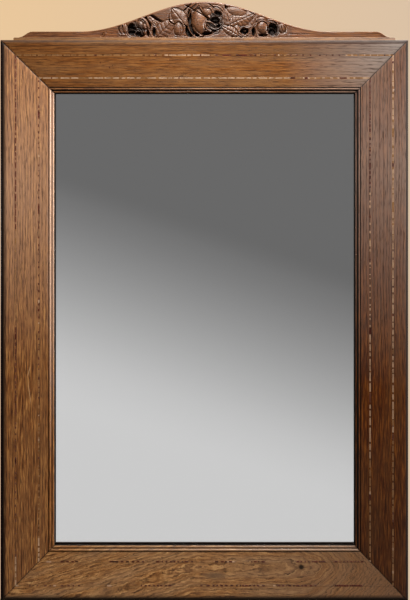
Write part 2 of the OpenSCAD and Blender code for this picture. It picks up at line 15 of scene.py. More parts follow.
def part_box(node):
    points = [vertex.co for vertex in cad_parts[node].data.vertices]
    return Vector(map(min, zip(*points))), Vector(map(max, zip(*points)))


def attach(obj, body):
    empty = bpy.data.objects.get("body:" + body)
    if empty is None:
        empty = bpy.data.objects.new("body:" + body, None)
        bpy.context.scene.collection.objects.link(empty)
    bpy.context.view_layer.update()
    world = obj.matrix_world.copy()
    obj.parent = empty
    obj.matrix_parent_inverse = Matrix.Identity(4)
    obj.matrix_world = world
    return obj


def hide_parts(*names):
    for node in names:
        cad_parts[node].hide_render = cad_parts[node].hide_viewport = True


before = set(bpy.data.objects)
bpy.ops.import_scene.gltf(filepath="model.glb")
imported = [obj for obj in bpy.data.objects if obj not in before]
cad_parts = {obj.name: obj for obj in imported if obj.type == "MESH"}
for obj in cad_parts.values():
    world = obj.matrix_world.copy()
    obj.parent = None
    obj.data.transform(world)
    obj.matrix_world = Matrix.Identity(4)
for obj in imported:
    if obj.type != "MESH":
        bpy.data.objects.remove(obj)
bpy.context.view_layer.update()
MM = 0.001

# The camera looks straight at the mirror from a point a little right of its middle and above
# it. The sides stay parallel in the photograph, so the lens is shifted and not tilted.
PHOTO_W, PHOTO_H = 410, 600
PHOTO_AXIS_X, PHOTO_AXIS_Y = 233, 196
PHOTO_MIDDLE_X, PHOTO_TOP_Y = 204.2, 39.5
PHOTO_FRAME_W = 409.1
CAMERA_DISTANCE = 1.30
SENSOR = 36.0

frame_left, frame_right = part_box("left_stile")[0].x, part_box("right_stile")[1].x
frame_top, frame_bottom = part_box("top_rail")[1].z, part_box("bottom_rail")[0].z
frame_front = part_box("top_rail")[0].y
pixel = (frame_right - frame_left) / PHOTO_FRAME_W

camera = bpy.data.objects.new("camera", bpy.data.cameras.new("camera"))
bpy.context.scene.collection.objects.link(camera)
bpy.context.scene.camera = camera
camera.location = (
    (PHOTO_AXIS_X - PHOTO_MIDDLE_X) * pixel,
    frame_front - CAMERA_DISTANCE,
    frame_top - (PHOTO_AXIS_Y - PHOTO_TOP_Y) * pixel,
)
camera.rotation_euler = (math.radians(90), 0, 0)
camera.data.sensor_width = SENSOR
camera.data.lens = SENSOR * CAMERA_DISTANCE / (PHOTO_H * pixel)
camera.data.shift_x = (PHOTO_W / 2 - PHOTO_AXIS_X) / PHOTO_H
camera.data.shift_y = (PHOTO_AXIS_Y - PHOTO_H / 2) / PHOTO_H
camera.data.clip_start = 0.05


# The room: behind the mirror a pale plastered wall, before it a room whose floor is pale and
# whose far wall is dim, which the glass shows as a soft grey gradient.
def linear(colour):
    """An sRGB hex colour such as #AA8844, or a plain grey from 0 to 1, as linear RGBA."""
    if not isinstance(colour, str):
        return (colour, colour, colour, 1.0)
    parts = [int(colour[i : i + 2], 16) / 255 for i in (1, 3, 5)]
    return (*[c / 12.92 if c <= 0.04045 else ((c + 0.055) / 1.055) ** 2.4 for c in parts], 1.0)


def feed(target, inputs):
    """Sets a shader node's inputs, each to a fixed value or to another node's output."""
    for socket, value in inputs.items():
        if isinstance(value, bpy.types.NodeSocket):
            target.id_data.links.new(value, target.inputs[socket])
        else:
            target.inputs[socket].default_value = value


def node(tree, kind, inputs, out=0, stops=(), **settings):
    """Adds a shader node with its settings, inputs and ramp stops, and returns one output."""
    made = tree.nodes.new("ShaderNode" + kind)
    for name, value in settings.items():
        setattr(made, name, value)
    feed(made, inputs)
    for number, (place, colour) in enumerate(stops):
        marks = made.color_ramp.elements
        mark = marks[number] if number < len(marks) else marks.new(place)
        mark.position, mark.color = place, linear(colour)
    return made.outputs[out]


ROOM_TILT = 0.345
ROOM_START, ROOM_END = 0.0455, 0.320
WINDOW_WAY = (0.62, -0.25, 0.74)
WALL_HALF = 0.25
room_greys = [
    (0.0, "#6B6B6B"), (0.10, "#767676"), (0.27, "#8A8A8A"), (0.45, "#A1A1A1"),
    (0.63, "#B8B8B8"), (0.80, "#CBCBCB"), (1.0, "#D6D6D6"),
]

world = bpy.data.worlds.new("room")
bpy.context.scene.world = world
world.use_nodes = True
room = world.node_tree
toward = node(room, "TexCoord", {}, "Generated")
dot = {"kind": "VectorMath", "out": "Value", "operation": "DOT_PRODUCT"}
sunk_side = node(room, inputs={0: toward, 1: (ROOM_TILT, 0, 1)}, **dot)
back_to_front = node(room, inputs={0: toward, 1: (0, 1, 0)}, **dot)
fall = node(room, "Math", {0: sunk_side, 1: back_to_front}, operation="DIVIDE")
placed = node(room, "MapRange", {0: fall, 1: ROOM_START, 2: ROOM_END})
far_room = node(room, "ValToRGB", {0: placed}, stops=room_greys)
far_room.node.color_ramp.interpolation = "B_SPLINE"
# The wood has only a little of the room's light, which is stronger from the window's side
window_side = node(room, inputs={0: toward, 1: WINDOW_WAY}, **dot)
window_share = node(room, "MapRange", {0: window_side, 1: -0.8, 2: 0.9})
dim_room = node(room, "ValToRGB", {0: window_share}, stops=[(0.0, "#0C0A08"), (1.0, "#4A433B")])
through_glass = node(room, "LightPath", {}, "Is Transmission Ray")
blend = {"kind": "Mix", "out": "Result", "data_type": "RGBA"}
seen = node(room, inputs={0: through_glass, "A": dim_room, "B": far_room}, **blend)
# The wall turns a little pinker towards the right
across = node(room, inputs={0: toward, 1: (1, 0, 0)}, **dot)
wall_share = node(room, "MapRange", {0: across, 1: -WALL_HALF, 2: WALL_HALF})
wall = node(room, "ValToRGB", {0: wall_share}, stops=[(0.0, "#E9C79C"), (1.0, "#DAC1A6")])
straight = node(room, "LightPath", {}, "Is Camera Ray")
shown = node(room, inputs={0: straight, "A": seen, "B": wall}, **blend)
feed(room.nodes["Background"], {"Color": shown, "Strength": 1.0})
bpy.context.scene.view_settings.view_transform = "Standard"


def softbox(name, place, target, size, power, colour):
    """A square lamp with a soft edge, turned towards a point."""
    lamp = bpy.data.lights.new(name, "AREA")
    lamp.size, lamp.energy, lamp.color = size, power, linear(colour)[:3]
    holder = bpy.data.objects.new(name, lamp)
    bpy.context.scene.collection.objects.link(holder)
    holder.location = place
    holder.visible_camera = False
    aim = Vector(target) - Vector(place)
    holder.rotation_euler = aim.to_track_quat("-Z", "Y").to_euler()


# The light rakes over the frame from above it and from the right, so that the reeds and quirks
# of the right stile lie in shadow and those of the left one shine. The last two lamps light only
# the left side and the back.
DAYLIGHT = "#FFFCF6"
MIDDLE = (0.0, 0.0, -0.35)
softbox("above", (0.2, -0.3, 1.0), MIDDLE, 0.3, 22.9, DAYLIGHT)
softbox("right side", (1.2, -0.2, 0.1), MIDDLE, 0.3, 29.6, DAYLIGHT)
softbox("over the middle", (0.0, -0.3, 0.35), MIDDLE, 0.2, 4.1, DAYLIGHT)
softbox("left side", (-1.2, 0.4, -0.3), (-0.3, 0.0, -0.42), 0.3, 2.5, DAYLIGHT)
softbox("back", (0.7, 1.3, 0.5), (0.0, 0.0, -0.4), 0.8, 25, "#FFFAF2")

FLOOR_DROP, FLOOR_SIZE, FLOOR_BEHIND = 0.35, 3.0, 0.25
floor_mesh = bmesh.new()
bmesh.ops.create_grid(floor_mesh, x_segments=1, y_segments=1, size=FLOOR_SIZE)
# Its far edge is where the wall would stand, so it stays out of the photograph's view
floor_middle = (0, FLOOR_BEHIND - FLOOR_SIZE, frame_bottom - FLOOR_DROP)
bmesh.ops.translate(floor_mesh, verts=floor_mesh.verts, vec=floor_middle)
floor = bpy.data.objects.new("floor", bpy.data.meshes.new("floor"))
floor_mesh.to_mesh(floor.data)
floor_mesh.free()
bpy.context.scene.collection.objects.link(floor)
floor.visible_glossy = False
floor.visible_transmission = False
floor_paint = bpy.data.materials.new("pale floor")
floor_paint.use_nodes = True
floor_shader = floor_paint.node_tree.nodes["Principled BSDF"]
feed(floor_shader, {"Base Color": linear("#D9D2C8"), "Roughness": 0.7})
floor.data.materials.append(floor_paint)

# The four members are one oak moulding: a face planed to fall towards the glass, two reeds run
# along the sight edge, the outer edge rounded, and the back rebated for the plate. They are
# sawn at 45 degrees and glued over loose tongues, with a hairline left open at each mitre.
MEMBER_W = 82 * MM
MEMBER_T = -frame_front
EDGE_R = 5 * MM
FACE_DROP = 11.5 * MM
OUTER_REED_R = 2.0 * MM
INNER_REED_R = 1.8 * MM
REED_SETTLE = 0.2 * MM
QUIRK_W = 0.8 * MM
QUIRK_D = 1.8 * MM
REED_STEP = 1.6 * MM
PLATE_WALL = MEMBER_W - 8 * MM
BOARD_WALL = PLATE_WALL - 10 * MM
PLATE_SEAT = 14.5 * MM
BOARD_SEAT = 6.5 * MM
MITRE_GAP = 0.3 * MM
MITRE_EASE = 0.4 * MM
MITRE_LINE = 0.8 * MM
STRING_W = 2.4 * MM
STRING_T = 2.4 * MM
STRING_LINES = {"outer": 24 * MM, "inner": 59 * MM}
MEMBER_STEP = 5 * MM
FACE_STEP = 7 * MM
UNEVEN = 0.1 * MM
# A band round the outer edge of each member is painted dark, partly old polish and partly painted
# shade, widest at the bottom and the left, which face away from the light. The sides of the reeds
# are painted shade, darkest on the top rail and the right stile, whose reeds face away from the
# light. Width of each band, how dark it is, and how dark the reeds' sides are.
EDGE_POLISH_AND_SHADE = {
    "top": (5.5 * MM, 0.72, 0.9), "bottom": (10.0 * MM, 0.95, 0.1),
    "left": (8.0 * MM, 0.97, 0.0), "right": (5.6 * MM, 0.95, 0.99),
}
EDGE_BAND_FADE = 1.8 * MM
SIDE_BAND_SHARE = 0.55
MITRE_STAIN = 0.9
HAIR = 0.1 * MM
# The plane's waves per metre, along a member and across it
WAVES_ALONG, WAVES_ACROSS = 12, 90

face_end = MEMBER_W - 2 * (OUTER_REED_R + INNER_REED_R + QUIRK_W)
slope = math.atan(FACE_DROP / (face_end - EDGE_R))
middle_z = (frame_top + frame_bottom) / 2
PLACES = {
    "top": Matrix.Translation((0, 0, frame_top)),
    "bottom": Matrix.Translation((0, 0, frame_bottom)) @ Matrix.Rotation(math.pi, 4, "Y"),
    "left": Matrix.Translation((frame_left, 0, middle_z)) @ Matrix.Rotation(-math.pi / 2, 4, "Y"),
    "right": Matrix.Translation((frame_right, 0, middle_z)) @ Matrix.Rotation(math.pi / 2, 4, "Y"),
}
LENGTHS = {
    "top": frame_right - frame_left, "bottom": frame_right - frame_left,
    "left": frame_top - frame_bottom, "right": frame_top - frame_bottom,
}


def face_height(d):
    """Height of the sloping face above the back, at distance d from the outer edge."""
    top_d = EDGE_R * (1 + math.sin(slope))
    top_h = MEMBER_T - EDGE_R * (1 - math.cos(slope))
    return top_h - (d - top_d) * math.tan(slope)


def arc(middle, radius, start, end, steps):
    """Points along part of a circle, its angles in degrees."""
    turns = [math.radians(start + (end - start) * i / steps) for i in range(steps + 1)]
    return [(middle[0] + radius * math.cos(t), middle[1] + radius * math.sin(t)) for t in turns]


def string_groove(middle):
    """The groove for one line of stringing, square in the face."""
    near, far = middle - STRING_W / 2, middle + STRING_W / 2
    top, low = face_height(near), face_height(far)
    return [(near, top), (near, top - STRING_T), (far, low - STRING_T), (far, low)]


def member_section():
    """The moulding's outline as (distance from the outer edge, height above the back)."""
    low = face_height(face_end)
    outer_h = low - OUTER_REED_R - REED_SETTLE
    step_h = outer_h - REED_STEP / 2
    face = arc((EDGE_R, MEMBER_T - EDGE_R), EDGE_R, 180, 90 - math.degrees(slope), 10)
    grooves = string_groove(STRING_LINES["outer"]) + string_groove(STRING_LINES["inner"])
    quirk = [(face_end, low), (face_end, low - QUIRK_D), (face_end + QUIRK_W, low - QUIRK_D)]
    outer_reed = arc((face_end + QUIRK_W + OUTER_REED_R, outer_h), OUTER_REED_R, 165, 15, 14)
    inner_start = MEMBER_W - 2 * INNER_REED_R
    inner_quirk = [(inner_start - QUIRK_W, step_h), (inner_start, step_h)]
    inner_middle = (MEMBER_W - INNER_REED_R, outer_h - REED_STEP)
    inner_reed = arc(inner_middle, INNER_REED_R, 150, 0, 14)
    rebates = [
        (MEMBER_W, PLATE_SEAT), (PLATE_WALL, PLATE_SEAT), (PLATE_WALL, BOARD_SEAT),
        (BOARD_WALL, BOARD_SEAT), (BOARD_WALL, 0),
    ]
    return [(0, 0)] + face + grooves + quirk + outer_reed + inner_quirk + inner_reed + rebates


def divided(outline, longest):
    """The same outline with its long sides divided, so that they can be planed uneven."""
    points = []
    for here, there in zip(outline, outline[1:] + outline[:1]):
        parts = math.ceil(math.dist(here, there) / longest)
        for i in range(parts):
            points.append(tuple(a + (b - a) * i / parts for a, b in zip(here, there)))
    return points


def everything(work):
    """All that a cutting plane can cut."""
    return work.verts[:] + work.edges[:] + work.faces[:]


def only(kind, parts):
    """Those of some mesh parts that are of one kind."""
    return [part for part in parts if isinstance(part, kind)]


def scored(work, place, way):
    """Divides a mesh where a plane crosses it."""
    bmesh.ops.bisect_plane(work, geom=everything(work), plane_co=place, plane_no=way)


def sawn_off(work, place, away):
    """Saws off what lies beyond a plane and closes the cut. Returns the vertices on it."""
    cut = bmesh.ops.bisect_plane(
        work, geom=everything(work), plane_co=place, plane_no=away, clear_outer=True
    )["geom_cut"]
    bmesh.ops.holes_fill(work, edges=only(BMEdge, cut), sides=0)
    return only(BMVert, cut)


def saw_mitres(work, length, gap):
    """Saws both ends at 45 degrees. Returns the vertices on the cuts."""
    sawn = []
    for side in (-1, 1):
        place = (side * (length / 2 - gap / math.sqrt(2)), 0, 0)
        sawn += sawn_off(work, place, (side, 0, -1))
    return sawn


def finished(work, name, body, replaced, materials, sharp=35):
    """Turns a worked mesh into a piece that rides on a body and stands for plain solids."""
    mesh = bpy.data.meshes.new(name)
    work.to_mesh(mesh)
    work.free()
    mesh.shade_smooth()
    mesh.set_sharp_from_angle(angle=math.radians(sharp))
    for material in materials:
        mesh.materials.append(material)
    piece = bpy.data.objects.new(name, mesh)
    bpy.context.scene.collection.objects.link(piece)
    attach(piece, body)
    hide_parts(*replaced)
    return piece


def drawn_out(work, edges, way):
    """Draws walls out from edges. Returns the vertices and the edges at their far end."""
    grown = bmesh.ops.extrude_edge_only(work, edges=edges)["geom"]
    moved = only(BMVert, grown)
    bmesh.ops.translate(work, verts=moved, vec=way)
    far = set(moved)
    return moved, [edge for edge in only(BMEdge, grown) if far.issuperset(edge.verts)]


def pulled_along(work, outline, length, step):
    """A closed outline of points (x, y, z) drawn out along X, open at both ends."""
    rim = [work.verts.new(point) for point in outline]
    edges = [work.edges.new(pair) for pair in zip(rim, rim[1:] + rim[:1])]
    steps = round(length / step)
    for _ in range(steps):
        edges = drawn_out(work, edges, (length / steps, 0, 0))[1]


def smooth(share):
    """A soft step from 0 to 1."""
    share = np.clip(share, 0, 1)
    return share * share * (3 - 2 * share)


def moulded_member(side, replaced, material, seed):
    """One member, planed a little uneven, its arris rubbed down along each mitre. A band round its
    outer edge is painted dark, partly old polish and partly painted shade, the sides of its reeds
    are painted shade where they face away from the light, and it is black under the lip, so that
    the glass doesn't show it."""
    length = LENGTHS[side]
    work = bmesh.new()
    outline = divided(member_section(), FACE_STEP)
    pulled_along(work, [(-length / 2, -h, -d) for d, h in outline], length, MEMBER_STEP)
    stain_and_shade = work.verts.layers.float.new("stain_and_shade")
    outer_top = face_height(face_end) - REED_SETTLE
    inner_top = outer_top - OUTER_REED_R - REED_STEP + INNER_REED_R
    band_w, band, reeds = EDGE_POLISH_AND_SHADE[side]
    for vert in work.verts:
        d, h = -vert.co.z, -vert.co.y
        # Outer band: partly old polish, partly painted shade where the rounded edge turns from the
        # light
        vert[stain_and_shade] = band * smooth((band_w - d) / EDGE_BAND_FADE)
        if h < MEMBER_T - 1.5 * EDGE_R:
            vert[stain_and_shade] *= SIDE_BAND_SHARE
        # Painted shade on the sides of the reeds, darkest on the members whose reeds face away from
        # the light
        if d > face_end + HAIR:
            reed_top = outer_top if d < MEMBER_W - 2 * INNER_REED_R else inner_top
            vert[stain_and_shade] = reeds * smooth((reed_top - h) / (0.3 * INNER_REED_R))
        if d > PLATE_WALL - MM and h < inner_top - INNER_REED_R + HAIR:
            vert[stain_and_shade] = 1.0
    front = [vert for vert in work.verts if -vert.co.y > PLATE_SEAT + MM]
    for vert in front:
        spot = Vector((vert.co.x * WAVES_ALONG, vert.co.z * WAVES_ACROSS, seed))
        vert.co.y += UNEVEN * (noise.noise(spot) + 0.5 * noise.noise(spot * 7))
    for end in (-1, 1):
        rubbed = (end * (length / 2 - (MITRE_GAP + MITRE_LINE) * math.sqrt(2)), 0, 0)
        scored(work, rubbed, (end, 0, -1))
    for vert in saw_mitres(work, length, MITRE_GAP / 2):
        if -vert.co.y > PLATE_SEAT + MM:
            vert.co.y += MITRE_EASE
            vert[stain_and_shade] = MITRE_STAIN
    bmesh.ops.recalc_face_normals(work, faces=work.faces[:])
    bmesh.ops.transform(work, matrix=PLACES[side], verts=work.verts[:])
    return finished(work, side + "_member", "frame", [replaced], [material])


def shader_of(material):
    """The tree and the shader of a new material."""
    material.use_nodes = True
    return material.node_tree, material.node_tree.nodes["Principled BSDF"]


# Flat-sawn oak: each ring ends in a thin dark line that comes and goes, and long dark pores
# crowd about it. The pores are drawn wider than real ones, which are finer than a pixel.
FIBRE_MM, PORE_MM, PATCH_MM = 1.2, 1.1, 16
FIBRE_LONG, PORE_LONG, PATCH_LONG = 24, 15, 170
LINE_LONG, LINE_BROAD = 45, 6
OAK_SHINE = 0.32
# Scale at which the wave texture draws one band per unit of length
WAVE_SCALE = 0.314


def grain_size(long_mm, wide_mm):
    """Scale of a pattern that is drawn out along the grain."""
    return (1 / (long_mm * MM), 1 / (wide_mm * MM), 1 / (wide_mm * MM))


def old_oak(
    name, log, upright, tones, ring_mm, line_share, figure=None, painted_light_corner=None, marks=(),
    dust_and_shade=0.8, dust_and_shade_reach=4 * MM, gloss=(0.36, 0.52), dull=0.95,
):
    """Oak under old varnish. The grain runs up a stile and along a rail; log moves the pattern to
    another piece of wood; tones are the dark, middle, light and greyed wood colours. figure bends
    the grain, painted_light_corner is a place round which the wood is painted greyer as painted
    sheen, and on the bottom rail darker as painted shade, marks are stains, painted highlights and
    painted shadow lines, dust_and_shade is how dark the dust and the painted shade are in the
    quirks, gloss and dull the roughness of new and old polish."""
    material = bpy.data.materials.new(name)
    tree, shader = shader_of(material)
    spot = node(tree, "TexCoord", {}, "Object")
    bent = figure(tree, spot) if figure else spot
    turn = (0, math.radians(90 if upright else 0), 0)
    laid = node(tree, "Mapping", {0: bent, 1: (0.37 * log, 0.11 * log, 0.23 * log), 2: turn})

    def streaks(long_mm, wide_mm, detail):
        sized = node(tree, "Mapping", {0: laid, 3: grain_size(long_mm, wide_mm)})
        return node(tree, "TexNoise", {0: sized, "Scale": 1.0, "Detail": detail, "Roughness": 0.6})

    sway_at = node(tree, "Mapping", {0: laid, 3: (0.12, 1, 1)})
    sway = node(tree, "TexNoise", {0: sway_at, "Scale": 22.0, "Detail": 3.0, "Roughness": 0.45})
    swung = node(tree, "MapRange", {0: sway, 3: -0.011, 4: 0.011})
    aside = node(tree, "CombineXYZ", {"Z": swung})
    swayed = node(tree, "VectorMath", {0: laid, 1: aside}, operation="ADD")
    ringed_at = node(tree, "Mapping", {0: swayed, 3: (0.35, 1, 1)})
    rings = node(
        tree, "TexWave", {0: ringed_at, "Scale": WAVE_SCALE / (ring_mm * MM), "Distortion": 1.4},
        wave_type="BANDS", bands_direction="Z", wave_profile="SAW",
    )
    line = node(tree, "MapRange", {0: rings, 1: 0.62, 2: 0.95, 3: 0.0, 4: line_share})
    broad = streaks(LINE_LONG, LINE_BROAD, 2.0)
    shown = node(tree, "MapRange", {0: broad, 1: 0.40, 2: 0.60, 3: 0.2})
    line_shown = node(tree, "Math", {0: line, 1: shown}, operation="MULTIPLY")
    fibre = streaks(FIBRE_LONG, FIBRE_MM, 3.0)
    patch = streaks(PATCH_LONG, PATCH_MM, 4.0)
    crowd = node(tree, "MapRange", {0: rings, 3: -0.06, 4: 0.06})
    crowded = node(tree, "Math", {0: streaks(PORE_LONG, PORE_MM, 1.0), 1: crowd}, operation="ADD")
    pores = node(tree, "MapRange", {0: crowded, 1: 0.56, 2: 0.66})
    pore_share = node(tree, "Math", {0: pores, 1: 0.55}, operation="MULTIPLY")
    patch_share = node(tree, "MapRange", {0: patch, 1: 0.40, 2: 0.66, 3: 0.0, 4: 0.5})

    dark, middle, light, greyed = tones
    wood = node(tree, "ValToRGB", {0: fibre}, stops=[(0.32, dark), (0.50, middle), (0.68, light)])
    wood = node(tree, inputs={0: patch_share, "A": wood, "B": linear(greyed)}, **blend)
    # Painted sheen: round a place near the light the wood is painted paler and greyer; on the
    # bottom rail the same mix paints the wood darker towards its right end, as painted shade
    if painted_light_corner:
        (x, z), reach, colour, most = painted_light_corner
        away = node(
            tree, "VectorMath", {0: spot, 1: (x, frame_front, z)}, "Value", operation="DISTANCE"
        )
        painted_light_share = node(tree, "MapRange", {0: away, 1: 0.0, 2: reach, 3: most, 4: 0.0})
        wood = node(tree, inputs={0: painted_light_share, "A": wood, "B": linear(colour)}, **blend)
    for share, colour in ((line_shown, "#2E170C"), (pore_share, "#2C140A")):
        wood = node(tree, inputs={0: share, "A": wood, "B": linear(colour)}, **blend)
    for (x, z), half, lean, colour, most in marks:
        about = node(
            tree, "Mapping",
            {0: spot, 1: (x, 0, z), 2: (0, math.radians(lean), 0), 3: (half[0], 1, half[1])},
            vector_type="TEXTURE",
        )
        from_mark = node(tree, "VectorMath", {0: about}, "Value", operation="LENGTH")
        ragged = node(tree, "Math", {0: from_mark, 1: fibre}, operation="ADD")
        mark_share = node(tree, "MapRange", {0: ragged, 1: 1.0, 2: 1.6, 3: most, 4: 0.0})
        wood = node(tree, inputs={0: mark_share, "A": wood, "B": linear(colour)}, **blend)
    # The stain layer darkens the wood: old polish and stain, and painted shade on the outer edges,
    # the reeds, the hollows of the carving and the top of the fillet
    stain_and_shade = node(tree, "Attribute", {}, "Fac", attribute_name="stain_and_shade")
    wood = node(tree, inputs={0: stain_and_shade, "A": wood, "B": linear("#140A06")}, **blend)
    # Dust and painted shade darken every quirk and joint, the less open air about it the darker;
    # how dark is set per member, darkest where the quirks face away from the light
    open_air = node(tree, "AmbientOcclusion", {"Distance": dust_and_shade_reach}, "AO", samples=8)
    clear_of_dust_and_shade = node(tree, "MapRange", {0: open_air, 1: 0.25, 2: 0.75, 3: 1 - dust_and_shade, 4: 1.0})
    wood = node(tree, inputs={0: clear_of_dust_and_shade, "A": linear("#1A0E08"), "B": wood}, **blend)
    glossy = node(tree, "MapRange", {0: patch, 1: 0.3, 2: 0.7, 3: gloss[0], 4: gloss[1]})
    dulled = node(tree, "MapRange", {0: stain_and_shade, 3: glossy, 4: dull})
    coat = node(tree, "MapRange", {0: stain_and_shade, 3: 0.25, 4: 0.0})
    raised = node(tree, "Math", {0: fibre, 1: pores}, operation="SUBTRACT")
    bump = node(tree, "Bump", {"Height": raised, "Strength": 0.4, "Distance": 0.3 * MM})
    feed(shader, {
        "Base Color": wood, "Roughness": dulled, "Normal": bump,
        "IOR": 1.5, "Specular IOR Level": OAK_SHINE, "Coat Weight": coat, "Coat Roughness": 0.25,
    })
    return material


KNOT = (152.6 * MM, -796.9 * MM)
FLAME_LONG, FLAME_W, FLAME_SWING = 26 * MM, 8 * MM, 5.5 * MM


def past_the_knot(tree, spot):
    """The grain of the bottom rail: it rises from the left, runs level in the middle, swings
    round a small knot and closes in arches past it."""
    x = node(tree, "SeparateXYZ", {0: spot}, "X")
    z = node(tree, "SeparateXYZ", {0: spot}, "Z")
    rise = node(tree, "MapRange", {0: x, 1: -0.27, 2: -0.02, 3: -0.072, 4: 0.0})
    above_knot = node(tree, "Math", {0: z, 1: KNOT[1]}, operation="SUBTRACT")
    level = node(tree, "Math", {0: above_knot, 1: rise}, operation="SUBTRACT")
    beyond = node(
        tree, "MapRange", {0: x, 1: 0.145, 2: 0.345, 3: 0.0, 4: 0.13},
        interpolation_type="SMOOTHSTEP",
    )
    off_level = node(tree, "CombineXYZ", {"X": level, "Y": 7 * MM})
    folded = node(tree, "VectorMath", {0: off_level}, "Value", operation="LENGTH")
    arches = node(tree, "Math", {0: folded, 1: beyond}, operation="ADD")
    about = node(
        tree, "Mapping", {0: spot, 1: (KNOT[0], 0, KNOT[1]), 3: (1.7, 100, 1)},
        vector_type="TEXTURE",
    )
    from_knot = node(tree, "VectorMath", {0: about}, "Value", operation="LENGTH")
    pushed = node(tree, "MapRange", {0: from_knot, 1: 0.0, 2: 0.016, 3: 0.008, 4: 0.0})
    ringed = node(tree, "Math", {0: arches, 1: pushed}, operation="ADD")
    torn_at = node(tree, "Mapping", {0: spot, 3: (1 / FLAME_LONG, 0, 1 / FLAME_W)})
    torn = node(tree, "TexNoise", {0: torn_at, "Scale": 1.0, "Detail": 4.0, "Roughness": 0.7})
    ragged = node(tree, "MapRange", {0: torn, 3: -FLAME_SWING, 4: FLAME_SWING})
    wilder = node(tree, "MapRange", {0: x, 1: KNOT[0], 2: 0.24, 3: 1.0, 4: 1.8})
    flamed = node(tree, "Math", {0: ragged, 1: wilder, 2: ringed}, operation="MULTIPLY_ADD")
    slant = node(tree, "Math", {0: level, 1: beyond}, operation="MULTIPLY")
    broken = node(tree, "Math", {0: slant, 1: 30.0, 2: x}, operation="MULTIPLY_ADD")
    return node(tree, "CombineXYZ", {"X": broken, "Z": flamed})


# The right stile's tones are darker than the others' and the left stile's lighter than the top
# rail's: partly boards of another colour, partly painted shade and painted light for the light that
# comes from the right
oaks = {
    "top": old_oak(
        "oak of the top rail", 1.7, False, ("#5E3414", "#7B4A20", "#946334", "#7F5C39"), 5, 0.38,
        painted_light_corner=((0.32, 0.03), 0.20, "#938A86", 0.95), dust_and_shade=0.95,
        marks=[
            ((-0.1633, -0.0032), (0.0012, 0.0016), 0, "#3E1509", 0.7),
            ((-0.1492, -0.0111), (0.0014, 0.0018), 0, "#3E1509", 0.8),
            ((-0.1444, -0.0079), (0.0010, 0.0014), 0, "#3E1509", 0.6),
            ((0.13, 0.018), (0.20, 0.020), 0, "#3E2410", 0.30),
            ((-0.17, 0.018), (0.22, 0.020), 0, "#4A2A10", 0.14),
            # The next two marks are painted shadow lines along the top rail's rounded edge, below
            # the cresting's fillet
            ((0.0, 0.0242), (0.56, 0.0015), -0.4, "#3A1C0C", 0.6),
            ((0.24, 0.0275), (0.24, 0.0024), 0, "#2E140A", 0.6),
        ],
    ),
    "bottom": old_oak(
        "oak of the bottom rail", 4.2, False, ("#522E19", "#976639", "#C89A64", "#9A7E61"), 6, 0.62,
        figure=past_the_knot, painted_light_corner=((0.32, -0.85), 0.36, "#674933", 1.0), dust_and_shade=0.45, dull=0.5,
        marks=[
            (KNOT, (0.010, 0.007), 0, "#4A2F1C", 0.5), (KNOT, (0.005, 0.0042), 0, "#150D08", 0.95),
            ((0.0159, -0.8095), (0.022, 0.006), 0, "#5C4A3A", 0.6),
            # A painted highlight along the bottom rail's reeds
            ((0.22, -0.7700), (0.40, 0.0056), 0, "#B8A090", 0.2),
        ],
    ),
    "left": old_oak(
        "oak of the left stile", 2.9, True, ("#441F0C", "#814F27", "#B8844A", "#83562F"), 4.5, 0.7,
        painted_light_corner=((-0.32, -0.2), 0.29, "#B69279", 0.53), dust_and_shade=0.1, dull=0.5,
        marks=[
            ((-0.2759, -0.4889), (0.0006, 0.0105), 13, "#C9A37C", 0.7),
            ((-0.2751, -0.5210), (0.0006, 0.024), -7, "#C9A37C", 0.6),
            # A painted highlight along the left stile's reeds, which face the light from the right
            ((-0.2419, -0.2600), (0.0062, 0.34), 0, "#D8BCAB", 0.34),
        ],
    ),
    "right": old_oak(
        "oak of the right stile", 6.3, True, ("#2A1002", "#602C08", "#8E5218", "#6A4018"), 4.5, 0.7,
        painted_light_corner=((0.32, -0.17), 0.35, "#968278", 0.65), dust_and_shade=0.95,
        marks=[
            # The right stile is painted darker towards its foot, as painted shade where the light
            # falls off
            ((0.28, -0.80), (0.10, 0.16), 0, "#2A1002", 0.22),
            ((0.28, -0.01), (0.10, 0.10), 0, "#3A281E", 0.18),
        ],
    ),
}
moulded_member("top", "top_rail", oaks["top"], 3.1)
moulded_member("bottom", "bottom_rail", oaks["bottom"], 7.7)
moulded_member("left", "left_stile", oaks["left"], 1.9)
moulded_member("right", "right_stile", oaks["right"], 5.3)

# The stringing is chequered line: slips of two woods glued end to end, laid in their grooves and
# scraped level. Much of it has gone the colour of the oak, so that only the odd slip stands out.
# Lengths in mm of the slips that make up most of a run and of those between them.
SLIP_LONG = {"pale": (5, 14), "tan": (5, 12), "brown": (3, 10), "dark": (2, 5.5), "oak": (3, 12)}
SLIP_SHORT = (1.4, 4.5)
SLIP_ODD = 0.1
SLIP_JOINT = 0.12 * MM
SLIP_SIDE = 0.3 * MM
SLIP_PROUD = 0.05 * MM
SLIP_EASE = 0.04 * MM
